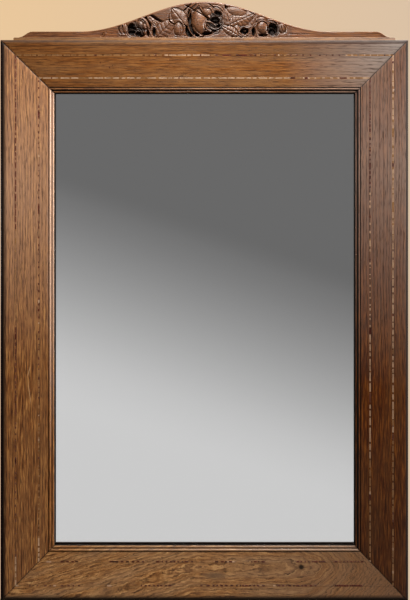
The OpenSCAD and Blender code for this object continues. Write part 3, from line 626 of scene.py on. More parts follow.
# Runs of each line, from the left or the top: share where it starts, most slips, slips between
SLIP_RUNS = {
    "top_outer": [
        (0, "tan", "oak"), (0.40, "pale", "oak"), (0.52, "oak", "dark"), (0.84, "tan", "pale"),
    ],
    "top_inner": [(0, "pale", "tan"), (0.7, "tan", "pale")],
    "bottom_outer": [
        (0, "oak", "oak"), (0.07, "oak", "brown"), (0.2, "oak", "oak"), (0.34, "dark", "oak"),
        (0.43, "oak", "oak"), (0.49, "dark", "oak"), (0.65, "oak", "oak"), (0.67, "dark", "oak"),
        (0.78, "oak", "oak"), (0.82, "dark", "dark"), (0.9, "oak", "oak"),
    ],
    "bottom_inner": [
        (0, "tan", "oak"), (0.1, "pale", "tan"), (0.13, "oak", "oak"), (0.15, "dark", "oak"),
        (0.2, "oak", "tan"), (0.27, "dark", "oak"), (0.36, "oak", "oak"), (0.38, "dark", "oak"),
        (0.48, "oak", "oak"), (0.53, "dark", "oak"), (0.57, "oak", "oak"), (0.61, "dark", "oak"),
        (0.65, "oak", "oak"), (0.73, "dark", "oak"), (0.8, "oak", "oak"), (0.82, "dark", "oak"),
        (0.91, "oak", "oak"),
    ],
    "left_outer": [
        (0, "brown", "oak"), (0.34, "oak", "tan"), (0.52, "brown", "oak"), (0.67, "oak", "brown"),
        (0.93, "pale", "tan"),
    ],
    "left_inner": [
        (0, "oak", "brown"), (0.52, "tan", "brown"), (0.65, "oak", "tan"), (0.9, "pale", "oak"),
    ],
    "right_outer": [(0, "pale", "tan"), (0.35, "pale", "oak"), (0.7, "tan", "oak")],
    "right_inner": [
        (0, "dark", "oak"), (0.27, "oak", "pale"), (0.53, "pale", "oak"), (0.75, "tan", "oak"),
    ],
}


def slip_wood(name, light, shadow):
    """Close-grained wood, sawn thin and scraped, blotched by the varnish over it."""
    material = bpy.data.materials.new(name)
    tree, shader = shader_of(material)
    spot = node(tree, "TexCoord", {}, "Object")
    blotch = node(tree, "TexNoise", {0: spot, "Scale": 140.0, "Detail": 3.0})
    tint = node(tree, "ValToRGB", {0: blotch}, stops=[(0.32, shadow), (0.62, light)])
    feed(shader, {
        "Base Color": tint, "Roughness": 0.42, "IOR": 1.5,
        "Coat Weight": 0.2, "Coat Roughness": 0.3,
    })
    return material


slip_woods = {
    "pale": slip_wood("holly slips", "#B8967A", "#94745A"),
    "dark": slip_wood("walnut slips", "#561A0C", "#360F07"),
    "brown": slip_wood("walnut slips gone brown", "#683824", "#4E2416"),
    "tan": slip_wood("holly slips gone tan", "#94693F", "#74502F"),
}


def sawn_block(work, size, middle):
    """A block of a size about its middle. Returns its vertices."""
    block = bmesh.ops.create_cube(work, size=1)["verts"]
    bmesh.ops.scale(work, verts=block, vec=size)
    bmesh.ops.translate(work, verts=block, vec=middle)
    return block


def eased(work, edges, offset, segments):
    """Takes the sharpness off edges."""
    bmesh.ops.bevel(
        work, geom=edges, offset=offset, segments=segments,
        affect="EDGES", profile=0.5, material=-1,
    )


def laid_line(side, line, seed):
    """One line of slips in its groove, from mitre to mitre."""
    draw = random.Random(seed)
    length, middle = LENGTHS[side], STRING_LINES[line]
    woods = list(SLIP_LONG)
    work = bmesh.new()
    x = middle - STRING_W - length / 2
    between = False
    while x < length / 2 - middle + STRING_W:
        share = x / length + 0.5
        if side in ("bottom", "left"):
            share = 1 - share
        main, spacer = [run[1:] for run in SLIP_RUNS[f"{side}_{line}"] if run[0] <= share][-1]
        wood = spacer if between else main
        slip = draw.uniform(*(SLIP_SHORT if between else SLIP_LONG[main])) * MM
        if draw.random() < SLIP_ODD:
            wood = draw.choice(woods)
        between = not between
        proud = draw.uniform(0.2, 1.0) * SLIP_PROUD
        size = (slip - SLIP_JOINT, STRING_T, STRING_W - SLIP_SIDE)
        block = sawn_block(work, size, (x + slip / 2, STRING_T / 2 - proud, 0))
        for face in {face for vert in block for face in vert.link_faces}:
            face.material_index = woods.index(wood)
        x += slip
    eased(work, work.edges[:], SLIP_EASE, 1)
    seat = Matrix.Translation((0, -face_height(middle), -middle)) @ Matrix.Rotation(slope, 4, "X")
    bmesh.ops.transform(work, matrix=seat, verts=work.verts[:])
    saw_mitres(work, length, 2 * MITRE_GAP)
    bmesh.ops.recalc_face_normals(work, faces=work.faces[:])
    bmesh.ops.transform(work, matrix=PLACES[side], verts=work.verts[:])
    name = f"stringing_{side}_{line}"
    materials = [slip_woods.get(wood, oaks[side]) for wood in woods]
    return finished(work, name + "_slips", "frame", [name], materials)


for number, (side, line) in enumerate((s, l) for s in PLACES for l in STRING_LINES):
    laid_line(side, line, 20 + number)

# The cresting is one oak board, sawn to an arch and carved in the solid. A rose half open
# stands in the middle, with a smaller rose and a bud on either side among veined leaves. The
# ground is cut away deeply between them, so that each form stands out of black shadow.
CREST_STAND = 0.1 * MM
CREST_HALF = 291.5
CREST_H, SHOULDER_H = 61.0, 14.0
ARCH_HALF = 196.0
FALL_L, FALL_STEP = 20.0, 5.0
CREST_FRONT, CREST_BACK = -26.5 * MM, -8 * MM
CARVED_HALF = 165.0
CARVED_STEP, PLAIN_STEP = 0.5, 4.5
CREST_ROWS = 118
CREST_EASE = 1.2
CARVED_FIELD = 140.0

crest_low = frame_top + CREST_STAND


def crest_edge(x):
    """Height of the arch, the level shoulders and the falls, in mm above the crest's foot."""
    x = np.abs(x)
    rise = 1 + np.cos(np.pi * np.minimum(x / ARCH_HALF, 1))
    arch = SHOULDER_H + (CREST_H - SHOULDER_H) * rise / 2
    drop = np.clip((x - CREST_HALF + FALL_L) / FALL_L, 0, 1)
    return arch - (SHOULDER_H - FALL_STEP) * (1 - np.cos(np.pi * drop)) / 2


carved_columns = round(2 * CARVED_HALF / CARVED_STEP)
plain_columns = math.ceil((CREST_HALF - CARVED_HALF) / PLAIN_STEP)
column_places = np.concatenate([
    np.linspace(-CREST_HALF, -CARVED_HALF, plain_columns + 1)[:-1],
    np.linspace(-CARVED_HALF, CARVED_HALF, carved_columns + 1),
    np.linspace(CARVED_HALF, CREST_HALF, plain_columns + 1)[1:],
])
board = bmesh.new()
bmesh.ops.create_grid(board, x_segments=len(column_places) - 1, y_segments=CREST_ROWS, size=0.5)
shares = np.array([vert.co for vert in board.verts]) + 0.5
carve_x = column_places[np.rint(shares[:, 0] * (len(column_places) - 1)).astype(int)]
carve_z = shares[:, 1] * crest_edge(carve_x)

# Depths that the carver works to, in mm
LINE_DEEP, LINE_WIDE = 0.6, 1.0
FORM_EDGE = 1.3
HOLLOW_WALL = 2.2
DEEPEST = 9.5
GOUGE_DEEP, GOUGE_FINE = 0.12, 0.55
# How dark the carving is painted: stain over the field, and stain with painted shade in the open
# roses and the deep hollows
CARVING_STAIN, ROSE_STAIN_AND_SHADE, DARKEST_STAIN_AND_SHADE = 0.33, 0.5, 0.92


def turned(place, turn):
    """Distances along and across a line through a place, turned from level by some degrees."""
    c, s = math.cos(math.radians(turn)), math.sin(math.radians(turn))
    x, z = carve_x - place[0], carve_z - place[1]
    return x * c + z * s, z * c - x * s


def laid_over(relief, form, inward):
    """Leaves a form standing over what lies behind it and cuts a line round it. inward is the
    distance in from its outline."""
    lined = relief - LINE_DEEP * np.exp(-((np.minimum(inward, 0) / LINE_WIDE) ** 2))
    return lined + (form - lined) * smooth(inward / FORM_EDGE + 0.5)


def hollow(relief, place, half, turn, depth):
    """Ground cut away in an oval with steep walls."""
    along, across = turned(place, turn)
    inward = (1 - np.hypot(along / half[0], across / half[1])) * min(half)
    return relief - (relief + depth) * smooth(inward / HOLLOW_WALL)


def swell(relief, place, half, turn, top, drop):
    """A swelling form, such as a closed rose, a bud or a folded petal."""
    along, across = turned(place, turn)
    reach = np.hypot(along / half[0], across / half[1])
    form = top - drop * (1 - np.sqrt(np.clip(1 - reach**2, 0, 1)))
    return laid_over(relief, form, (1 - reach) * min(half))


def bent_path(start, bend, end):
    """Nearest distance to a bend through three points, and how far along it that is."""
    start, bend, end = np.array(start), np.array(bend), np.array(end)
    pull = 2 * bend - (start + end) / 2
    steps = np.linspace(0, 1, 25)[:, None]
    path = (1 - steps) ** 2 * start + 2 * steps * (1 - steps) * pull + steps**2 * end
    far = np.full(carve_x.shape, 99.0)
    where = np.zeros(carve_x.shape)
    for step, (x, z) in zip(steps[:, 0], path):
        distance = np.hypot(carve_x - x, carve_z - z)
        where = np.where(distance < far, step, where)
        far = np.minimum(far, distance)
    return far, where


def ridge(relief, start, bend, end, widths, tops):
    """A round ridge along a bend: a stem, a sepal or the rolled lip of a petal."""
    far, where = bent_path(start, bend, end)
    half = (widths[0] + (widths[1] - widths[0]) * where) / 2
    top = tops[0] + (tops[1] - tops[0]) * where
    form = top - half + np.sqrt(np.clip(half**2 - far**2, 0, None))
    return laid_over(relief, form, half - far)


def cut_line(relief, start, bend, end, width, depth):
    """A line drawn with the V tool along a bend."""
    far, where = bent_path(start, bend, end)
    strength = np.sin(np.pi * (0.1 + 0.8 * where))
    return relief - depth * strength * np.clip(1 - far / (width / 2), 0, 1)


def leaf(relief, base, tip, width, tops, veins, cup):
    """A rose leaf: toothed edge, sunk midrib, and a small pillow between each two veins."""
    length = math.dist(base, tip)
    turn = math.degrees(math.atan2(tip[1] - base[1], tip[0] - base[0]))
    along, across = turned(base, turn)
    share = np.clip(along / length, 0, 1)
    teeth = 1 + 0.05 * np.abs(np.sin(np.pi * share * veins * 1.5))
    half = width / 2 * np.sin(np.pi * share**0.8) ** 0.75 * teeth
    out = np.abs(across) / np.maximum(half, 0.01)
    phase = (share * veins - 0.75 * np.minimum(out, 1.0)) % 1.0
    pillow = 0.5 * (4 * phase * (1 - phase)) ** 0.8
    top = tops[0] + (tops[1] - tops[0]) * share
    form = top + pillow * (1 - share**4) - cup * out**2 - 0.8 * np.exp(-((across / 0.9) ** 2))
    return laid_over(relief, form, half - np.abs(across))


CARVING = [
    # The left rose, open to the left, with its bud and the hollows about them
    (hollow, (-115, 17.4), (7.5, 10.5), 0, 8), (hollow, (-102, 9.5), (9, 5), -12, 7),
    (ridge, (-120, 15), (-113.7, 17.2), (-107, 14.6), (1.8, 2.4), (-4, -2.5)),
    (ridge, (-119, 22.5), (-113, 23.5), (-109, 19), (1.6, 2.2), (-4.5, -3)),
    (ridge, (-109.9, 28.5), (-108, 22), (-104, 15), (2.6, 3.4), (-0.8, -1)),
    (swell, (-100.5, 23.5), (5.0, 7.6), 20, 0.8, 3.0),
    (swell, (-93.5, 21.5), (4.2, 4.8), 0, 1.6, 2.5),
    (ridge, (-106.6, 18.2), (-101, 16), (-97.8, 10), (2.6, 3.2), (-1.2, -1.8)),
    (swell, (-92.6, 12.6), (3.6, 4.9), 0, -0.3, 2.0),
    (ridge, (-106.5, 35.2), (-94.2, 32.2), (-88.6, 19.7), (2.2, 5.2), (0.6, 1.6)),
    (ridge, (-121.6, 19), (-120, 8.9), (-112, 5.6), (2.2, 2.2), (0.2, 0.2)),
    (ridge, (-111.5, 6.9), (-107.5, 4.9), (-102, 5.6), (2.0, 2.4), (-0.6, -0.6)),
    (swell, (-125.3, 18.9), (3.9, 8.3), 0, 1.0, 2.4),
    (ridge, (-128.5, 24.5), (-127, 22), (-126.4, 18), (2.4, 1.6), (1.7, 1)),
    (cut_line, (-129.5, 25.5), (-135, 18.9), (-131, 10), 2.4, 3.2),
    (cut_line, (-134, 6.6), (-128, 6.9), (-122, 7.2), 1.4, 1.2),
    (ridge, (-155.5, 11.6), (-157.8, 8), (-160.8, 5), (2.6, 1.4), (1.1, 0.6)),
    (cut_line, (-158.5, 12.5), (-161, 9), (-163, 6), 1.8, 1.6),
    # Stems and leaves between the left rose and the middle one
    (hollow, (-89, 11), (2.7, 6.8), 8, 8.5), (hollow, (-79.3, 13.4), (3.6, 8.2), 0, 8.5),
    (cut_line, (-96.5, 38.6), (-88, 31), (-84.6, 16), 4.6, 7.5),
    (cut_line, (-86.5, 41.5), (-76.5, 34.4), (-67.5, 29.2), 5.6, 6.5),
    (leaf, (-90.5, 39), (-74, 21.5), 8.6, (-0.6, 0.2), 4, 1.2),
    (ridge, (-80.2, 29), (-83.4, 20), (-84.9, 13.5), (2.2, 1.8), (0.8, 0.4)),
    (ridge, (-89.3, 19.4), (-85.2, 12), (-82.4, 4.6), (2.0, 2.4), (0.4, 0.8)),
    (leaf, (-75.0, 5.4), (-47.0, 32.5), 23.5, (0.2, 0.6), 6, 1.8),
    (cut_line, (-54.6, 41), (-53.8, 29), (-38, 24.6), 3.0, 4.5),
    (leaf, (-31.5, 25.2), (-52.0, 51.5), 22.5, (0.8, -0.4), 3, 1.6),
    (hollow, (-22.5, 16), (8.4, 11.5), 0, 9), (hollow, (-23.4, 34), (3.8, 17), 0, 8),
    (swell, (-41.1, 17.6), (7.3, 10.8), 0, 1.2, 3.2),
    (cut_line, (-45, 26), (-45.4, 17), (-44, 9), 1.4, 1.0),
    (cut_line, (-38.2, 27), (-38.2, 18), (-38.4, 8), 1.6, 1.2),
    (ridge, (-46.8, 7.4), (-38, 6.2), (-28, 5.6), (1.8, 2.4), (0.2, 0.5)),
    # The middle rose: closed petals on the left, open ones about dark hollows on the right
    (hollow, (-12.4, 12), (4.6, 7.5), 20, 9), (hollow, (2.5, 11.2), (11.5, 3.6), 0, 7),
    (swell, (-7.6, 30.2), (12.6, 20.6), -4, 3.4, 6.0),
    (cut_line, (-9.4, 50.6), (-3.4, 43.2), (2.6, 35), 2.4, 3.4),
    (ridge, (-6.4, 51.2), (-1.6, 44.6), (3.4, 37.8), (2.2, 2.6), (2.4, 2.8)),
    (swell, (5.2, 44.2), (8.8, 7.0), -38, 2.2, 3.0),
    (hollow, (16.6, 31.4), (8.2, 6.6), 0, 6.5), (hollow, (21.4, 42.6), (7.2, 4.2), -22, 6.5),
    (hollow, (21.6, 22.4), (4.6, 3.0), 0, 6.5), (hollow, (14.8, 15.8), (4.2, 2.8), 0, 6),
    (ridge, (1.6, 50.2), (9.6, 50.4), (13.8, 43.0), (1.8, 2.6), (1.6, 2.4)),
    (ridge, (13.6, 54.4), (25.6, 51), (30.2, 41), (2.6, 3.6), (0.8, 1.4)),
    (ridge, (27.6, 44.2), (29.9, 33.8), (26, 20.6), (3.0, 4.0), (1.0, 1.2)),
    (ridge, (13.8, 40.6), (18.8, 37.6), (25.2, 37.2), (2.0, 1.6), (-1.2, -1.6)),
    (ridge, (11, 34.5), (15.5, 31.2), (21.5, 31.8), (1.4, 1.4), (-3.6, -3.6)),
    (swell, (6.8, 36.0), (2.4, 3.6), -20, 2.8, 1.6),
    (ridge, (2.8, 29.4), (9.6, 28.4), (17.4, 23.2), (3.0, 3.4), (2.0, 1.2)),
    (ridge, (16.4, 26.2), (22, 25), (27.4, 26.6), (2.0, 2.0), (-0.4, -0.2)),
    (ridge, (5.6, 25.2), (11.4, 18.6), (21.6, 17.6), (2.8, 3.0), (1.0, 0.4)),
    (ridge, (0.4, 25.6), (2.8, 18.8), (11.0, 13.8), (2.6, 3.0), (1.6, 0.4)),
    (ridge, (16, 11.4), (22.8, 13.2), (26, 20.4), (2.4, 2.8), (0.2, 0.8)),
    (cut_line, (4.4, 27), (11, 22.8), (18, 19), 1.8, 2.6),
    # Sepals and loose strands about it
    (ridge, (-24.8, 36.6), (-22.4, 44.6), (-15.6, 50.8), (2.0, 2.0), (0.6, 1.4)),
    (ridge, (-23.6, 49.6), (-18.2, 55.2), (-12.6, 58.4), (2.6, 2.2), (2.2, 2.0)),
    (ridge, (-17.0, 48.4), (-12.4, 53.2), (-8.2, 56.4), (2.8, 2.2), (1.2, 1.4)),
    (ridge, (-26.5, 27), (-23.0, 15.2), (-15.2, 5.2), (2.6, 2.2), (0.4, 1.2)),
    (ridge, (-16.6, 21), (-12.2, 13.4), (-4.4, 6.9), (2.0, 2.6), (-0.6, 0.6)),
    (ridge, (-6.6, 7.0), (2, 6.4), (15, 9.8), (2.8, 1.8), (0.6, -0.2)),
    # Leaves on the right
    (hollow, (62.8, 14.8), (7.6, 5.6), 0, 8.5), (hollow, (77.2, 13.4), (3.4, 8.4), 0, 8.5),
    (hollow, (34.2, 53.0), (4.6, 1.9), -14, 5),
    (cut_line, (5.2, 58.2), (11.2, 54.6), (16.2, 49.8), 2.0, 2.6),
    (leaf, (41.5, 15.5), (33.6, 50.5), 17, (0.6, 0.2), 3, 1.4),
    (leaf, (38.5, 24.5), (80.5, 42.5), 25, (0.2, 0.8), 8, 1.8),
    (swell, (50.8, 45.6), (15.5, 6.6), -13, 0.6, 1.6),
    (cut_line, (64.5, 47.8), (72.6, 44.4), (80.5, 39.4), 2.2, 3.4),
    (swell, (50.2, 15.6), (5.8, 8.4), -8, 1.2, 2.4),
    (leaf, (53.5, 7.4), (25.6, 23.6), 14.5, (0.8, 0.4), 7, 1.6),
    (ridge, (55.8, 20.4), (63.4, 21.8), (73, 24.4), (1.8, 1.8), (-0.6, -0.2)),
    (swell, (63.9, 15.2), (2.6, 2.0), 0, -3.4, 1.2),
    (ridge, (55.2, 12.4), (59.4, 8.4), (66, 6.2), (2.4, 2.4), (-0.2, 0.4)),
    (ridge, (79.4, 26.4), (74.2, 19), (68.2, 8.6), (2.4, 2.6), (0.8, 0.8)),
    (ridge, (80.2, 22.6), (81.4, 15), (83.4, 5.2), (2.0, 2.4), (0.6, 0.8)),
    (swell, (82.7, 32.2), (1.6, 3.0), -18, 1.0, 1.2),
    # The right rose, open to the right, and its bud
    (hollow, (106.8, 17), (8.8, 10.2), 0, 7.5), (hollow, (92, 8.4), (9.4, 3.2), 0, 6.5),
    (ridge, (96, 12), (94.6, 8.6), (92, 6), (1.6, 1.6), (-1.6, -1.6)),
    (swell, (90.4, 32.2), (7.0, 4.6), -10, 0.8, 2.0), (swell, (91, 20.9), (8.2, 9.8), 0, 2.2, 4.0),
    (ridge, (83.6, 27.4), (90, 31.2), (98.4, 28.0), (2.0, 2.4), (1.2, 1.4)),
    (ridge, (100.6, 15.4), (105.8, 20), (111.6, 15.4), (1.8, 1.8), (-2.8, -2.8)),
    (ridge, (102, 10.8), (107.4, 8.0), (112.4, 12.0), (1.8, 2.2), (-2.4, -2.0)),
    (ridge, (104, 26), (107, 25), (111, 22), (1.6, 1.6), (-2.6, -2.6)),
    (ridge, (100, 31.2), (109.6, 31.4), (115.4, 25.6), (2.8, 2.8), (0.8, 1.0)),
    (ridge, (98.6, 27.8), (101, 22), (99.2, 12), (1.8, 1.8), (0.4, -0.6)),
    (ridge, (114.8, 26), (117, 18.2), (113.4, 8.6), (2.6, 2.6), (0.8, 0.6)),
    (swell, (122.4, 19.0), (6.0, 8.0), 0, 1.2, 2.4),
    (cut_line, (119.8, 25), (121.8, 18.4), (124, 12), 1.8, 1.8),
    (ridge, (126.2, 23), (128.6, 18.6), (128.2, 13.2), (1.8, 2.0), (1.4, 1.0)),
    (cut_line, (131, 9.6), (146, 10.2), (168, 9.2), 1.6, 1.4),
]

relief = 0.25 * np.sin(carve_x / 17 + carve_z / 9)
for tool, *sizes in CARVING:
    relief = tool(relief, *sizes)
# Facets that the gouge leaves, and the band along the arch and the foot, which stay whole
gouge = np.array([
    noise.noise(Vector((x * GOUGE_FINE, z * GOUGE_FINE, 4.0))) for x, z in zip(carve_x, carve_z)
])
from_edge = crest_edge(carve_x) - carve_z
whole = smooth((from_edge - 1.8) / 1.6) * smooth((carve_z - 3.4) / 1.2)
relief = np.maximum(relief + GOUGE_DEEP * gouge, -DEEPEST)
relief = np.where(relief < 0, relief * whole, relief * smooth(from_edge / 1.6))
ease = np.clip(1 - from_edge / CREST_EASE, 0, 1)
relief = relief - CREST_EASE * (1 - np.sqrt(1 - ease**2))
# Stain was rubbed into the carving and worn off the high lips. In the open roses, given here by
# middle and half size, the low parts are painted darker, and every hollow is painted nearer black
# the deeper it lies: partly stain in the hollows, partly painted shade.
OPEN_ROSES = [((-108, 17), (16, 13)), ((17, 29), (16, 21)), ((109, 17), (12, 13))]
carved_share = smooth((CARVED_FIELD - np.abs(carve_x)) / 4) * whole
tints = CARVING_STAIN * carved_share * (1 - 0.8 * smooth((relief - 0.8) / 2.2))
for place, half in OPEN_ROSES:
    along, across = turned(place, 0)
    inside = smooth(2 * (1.1 - np.hypot(along / half[0], across / half[1])))
    tints = tints + ROSE_STAIN_AND_SHADE * inside * (1 - smooth((relief - 0.6) / 1.6)) * whole
tints = np.minimum(tints, DARKEST_STAIN_AND_SHADE)
# Painted shade: the deeper the ground lies, the nearer black
tints = tints + (DARKEST_STAIN_AND_SHADE - tints) * smooth((-relief - 0.2) / 6.5)
stain_and_shade = board.verts.layers.float.new("stain_and_shade")
for vert, x, z, height, tint in zip(board.verts, carve_x, carve_z, relief, tints):
    vert.co = (x * MM, CREST_FRONT - height * MM, crest_low + z * MM)
    vert[stain_and_shade] = tint
rim = [edge for edge in board.edges if edge.is_boundary]
walls = bmesh.ops.extrude_edge_only(board, edges=rim)["geom"]
for vert in only(BMVert, walls):
    vert.co.y = CREST_BACK
bmesh.ops.holes_fill(board, edges=[edge for edge in board.edges if edge.is_boundary], sides=0)
bmesh.ops.recalc_face_normals(board, faces=board.faces[:])

carved_oak = old_oak(
    "carved and waxed oak", 8.4, False, ("#35190A", "#5E351C", "#7B4F2D", "#66442B"), 5, 0.35,
    dust_and_shade=0.5, dust_and_shade_reach=2.5 * MM, gloss=(0.36, 0.46), dull=0.5,
)
finished(board, "cresting", "frame", ["crest_board"], [carved_oak], 60)

# A fillet runs along the foot of the cresting, planed from the same oak, its nose rounded.
FILLET_HALF = 300 * MM
FILLET_H, FILLET_FRONT = 4.4 * MM, -28 * MM
FILLET_NOSE = 1.6 * MM
fillet = bmesh.new()
fillet_middle = (0, (CREST_BACK + FILLET_FRONT) / 2, crest_low + FILLET_H / 2)
sawn_block(fillet, (2 * FILLET_HALF, CREST_BACK - FILLET_FRONT, FILLET_H), fillet_middle)
top_edges = [e for e in fillet.edges if all(v.co.z > fillet_middle[2] for v in e.verts)]
nose = [e for e in top_edges if any(v.co.y < fillet_middle[1] for v in e.verts)]
eased(fillet, nose, FILLET_NOSE, 5)
bmesh.ops.recalc_face_normals(fillet, faces=fillet.faces[:])
# Painted shade: the fillet's top and rounded nose, which face the light from above, are painted
# darker
fillet_painted_shade = fillet.verts.layers.float.new("stain_and_shade")
for vert in fillet.verts:
    vert[fillet_painted_shade] = 0.4 if vert.co.z > fillet_middle[2] else 0.0
# Its right end is painted paler and greyer as painted light from the right
fillet_oak = old_oak(
    "oak of the fillet", 9.1, False, ("#573013", "#86572B", "#A5743C", "#86603A"), 5, 0.35,
    painted_light_corner=((0.32, 0.04), 0.26, "#B09C90", 0.45),
)
finished(fillet, "cresting_fillet", "frame", ["crest_board"], [fillet_oak])

# The mirror plate is 4 mm float glass, silvered on its back. The silver lies behind the glass,
# so that the sight edge shows a second time in it, with a dark line between.
plate_low, plate_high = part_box("mirror_plate")
PLATE_BEVEL = 0.6 * MM
SILVER_T = 0.08 * MM


def plate_slab(front, back, inset):
    """A slab as wide and high as the plate, less an inset all round."""
    work = bmesh.new()
    size, middle = plate_high - plate_low, (plate_high + plate_low) / 2
    less = (size.x - 2 * inset, back - front, size.z - 2 * inset)
    sawn_block(work, less, (middle.x, (front + back) / 2, middle.z))
    return work


sheet_glass = plate_slab(plate_low.y, plate_high.y - SILVER_T, 0)
eased(sheet_glass, sheet_glass.edges[:], PLATE_BEVEL, 1)
glass = bpy.data.materials.new("float glass")
feed(shader_of(glass)[1], {
    "Base Color": linear("#FCFCFC"), "Roughness": 0.0, "IOR": 1.52, "Transmission Weight": 1.0,
})
finished(sheet_glass, "mirror_glass", "frame", ["mirror_plate"], [glass], 20)

silver = bpy.data.materials.new("silvering")
feed(shader_of(silver)[1], {"Base Color": linear("#FBFBFB"), "Metallic": 1.0, "Roughness": 0.0})
silver_sheet = plate_slab(plate_high.y - SILVER_T, plate_high.y, PLATE_BEVEL)
finished(silver_sheet, "mirror_silver", "frame", ["mirror_plate"], [silver], 20)

# Loose tongues of beech lie across the mitres, and beech dowels hold the cresting on its rail.
# Glue hides them all. Beech is pale and pinkish, with short dark flecks along the grain.
FLECK_MM, FLECK_LONG = 0.5, 6


def sawn_beech(name, turn):
    """Beech as the saw and the dowel plate leave it, its grain turned to lie along the piece."""
    material = bpy.data.materials.new(name)
    tree, shader = shader_of(material)
    spot = node(tree, "TexCoord", {}, "Object")
    laid = node(tree, "Mapping", {0: spot, 2: turn})
    fleck_at = node(tree, "Mapping", {0: laid, 3: grain_size(FLECK_LONG, FLECK_MM)})
    fleck = node(tree, "TexNoise", {0: fleck_at, "Scale": 1.0, "Detail": 2.0})
    beech_colours = [(0.34, "#8E6444"), (0.46, "#C49A70"), (0.7, "#D3AE86")]
    tint = node(tree, "ValToRGB", {0: fleck}, stops=beech_colours)
    rough = node(tree, "Bump", {"Height": fleck, "Strength": 0.3, "Distance": 0.2 * MM})
    feed(shader, {"Base Color": tint, "Normal": rough, "Roughness": 0.7, "IOR": 1.5})
    return material


def refinished(name, material):
    """Gives a plain solid, which is already the right shape, its real finish."""
    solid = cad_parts[name].data
    solid.materials.clear()
    solid.materials.append(material)


falling_beech = sawn_beech("sawn beech, falling", (0, math.radians(-45), 0))
rising_beech = sawn_beech("sawn beech, rising", (0, math.radians(45), 0))
for corner, beech in {
    "top_left": falling_beech, "top_right": rising_beech,
    "bottom_left": rising_beech, "bottom_right": falling_beech,
}.items():
    refinished("mitre_tongue_" + corner, beech)
refinished("crest_dowels", sawn_beech("rounded beech", (0, math.radians(90), 0)))

# The back is closed by three thin pine boards, planed and left bare, that have gone brown with
# age. Wedges split from the same pine are rubbed in with glue round the plate and hold it.
BOARD_EASE = 0.5 * MM
BOARD_WAVE = 0.12 * MM
BOARD_CUTS = 40
PINE_RING_MM, PINE_FIBRE_MM, PINE_FIBRE_LONG = 11, 0.8, 45
WEDGE_RING_MM = 3
KNOT_MM = 190


def old_pine(name, log, upright, ring_mm):
    """Bare pine: broad pale bands with a reddish line between them, bent round a few knots."""
    material = bpy.data.materials.new(name)
    tree, shader = shader_of(material)
    spot = node(tree, "TexCoord", {}, "Object")
    turn = (0, math.radians(90 if upright else 0), 0)
    laid = node(tree, "Mapping", {0: spot, 1: (0.41 * log, 0, 0.13 * log), 2: turn})
    knot_at = node(tree, "Mapping", {0: laid, 3: (0.45 / (KNOT_MM * MM), 0.1, 1 / (KNOT_MM * MM))})
    knot_away = node(tree, "TexVoronoi", {0: knot_at, "Scale": 1.0, "Randomness": 0.8}, "Distance")
    bend = node(
        tree, "MapRange", {0: knot_away, 1: 0.0, 2: 0.28, 3: 0.030, 4: 0.0},
        interpolation_type="SMOOTHSTEP",
    )
    stretched = node(tree, "Mapping", {0: laid, 3: (0.06, 0.2, 1)})
    sway = node(tree, "TexNoise", {0: stretched, "Scale": 9.0, "Detail": 2.0})
    swung = node(tree, "MapRange", {0: sway, 3: -0.04, 4: 0.04})
    pushed = node(tree, "Math", {0: bend, 1: swung}, operation="ADD")
    aside = node(tree, "CombineXYZ", {"Z": pushed})
    ringed_at = node(tree, "VectorMath", {0: stretched, 1: aside}, operation="ADD")
    rings = node(
        tree, "TexWave", {0: ringed_at, "Scale": WAVE_SCALE / (ring_mm * MM), "Distortion": 0.4},
        wave_type="BANDS", bands_direction="Z", wave_profile="SAW",
    )
    fibre_at = node(tree, "Mapping", {0: laid, 3: grain_size(PINE_FIBRE_LONG, PINE_FIBRE_MM)})
    fibre = node(tree, "TexNoise", {0: fibre_at, "Scale": 1.0, "Detail": 2.0})
    soft = node(tree, "ValToRGB", {0: rings}, stops=[
        (0.0, "#A57F55"), (0.6, "#94693F"), (0.92, "#6E4426"), (1.0, "#94693F"),
    ])
    heart = node(tree, "MapRange", {0: knot_away, 1: 0.035, 2: 0.05, 3: 1.0, 4: 0.0})
    knotted = node(tree, inputs={0: heart, "A": soft, "B": linear("#3E2111")}, **blend)
    dust = node(tree, "TexNoise", {0: spot, "Scale": 14.0, "Detail": 5.0})
    dusted = node(tree, "MapRange", {0: dust, 1: 0.4, 2: 0.75, 3: 0.0, 4: 0.55})
    dim = node(tree, inputs={0: dusted, "A": knotted, "B": linear("#7A6450")}, **blend)
    streak = node(tree, "MapRange", {0: fibre, 1: 0.3, 2: 0.7, 3: 0.0, 4: 0.3})
    streaked = node(tree, inputs={0: streak, "A": dim, "B": linear("#53351F")}, **blend)
    rough = node(tree, "Bump", {"Height": fibre, "Strength": 0.5, "Distance": 0.3 * MM})
    feed(shader, {"Base Color": streaked, "Normal": rough, "Roughness": 0.75, "IOR": 1.5})
    return material


for number, place in enumerate(("left", "centre", "right")):
    replaced = "back_board_" + place
    board_low, board_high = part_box(replaced)
    size, middle = board_high - board_low, (board_high + board_low) / 2
    board = bmesh.new()
    sawn_block(board, size, (0, 0, 0))
    eased(board, board.edges[:], BOARD_EASE, 2)
    cuts = [((0, 0, (cut / BOARD_CUTS - 0.5) * size.z), (0, 0, 1)) for cut in range(1, BOARD_CUTS)]
    cuts += [((cut * size.x, 0, 0), (1, 0, 0)) for cut in (-0.3, -0.1, 0.1, 0.3)]
    for place_cut, way in cuts:
        scored(board, place_cut, way)
    for vert in board.verts:
        wave = noise.noise(Vector((vert.co.x * 30, number * 5.0, vert.co.z * 8)))
        vert.co.y -= BOARD_WAVE * (0.5 + 0.5 * wave)
    bmesh.ops.translate(board, verts=board.verts[:], vec=middle)
    pine = old_pine(f"bare old pine, {place} board", 3.3 + number, True, PINE_RING_MM)
    finished(board, "board_" + place, "frame", [replaced], [pine])

refinished("glazing_blocks", old_pine("split pine wedges", 8.1, False, WEDGE_RING_MM))

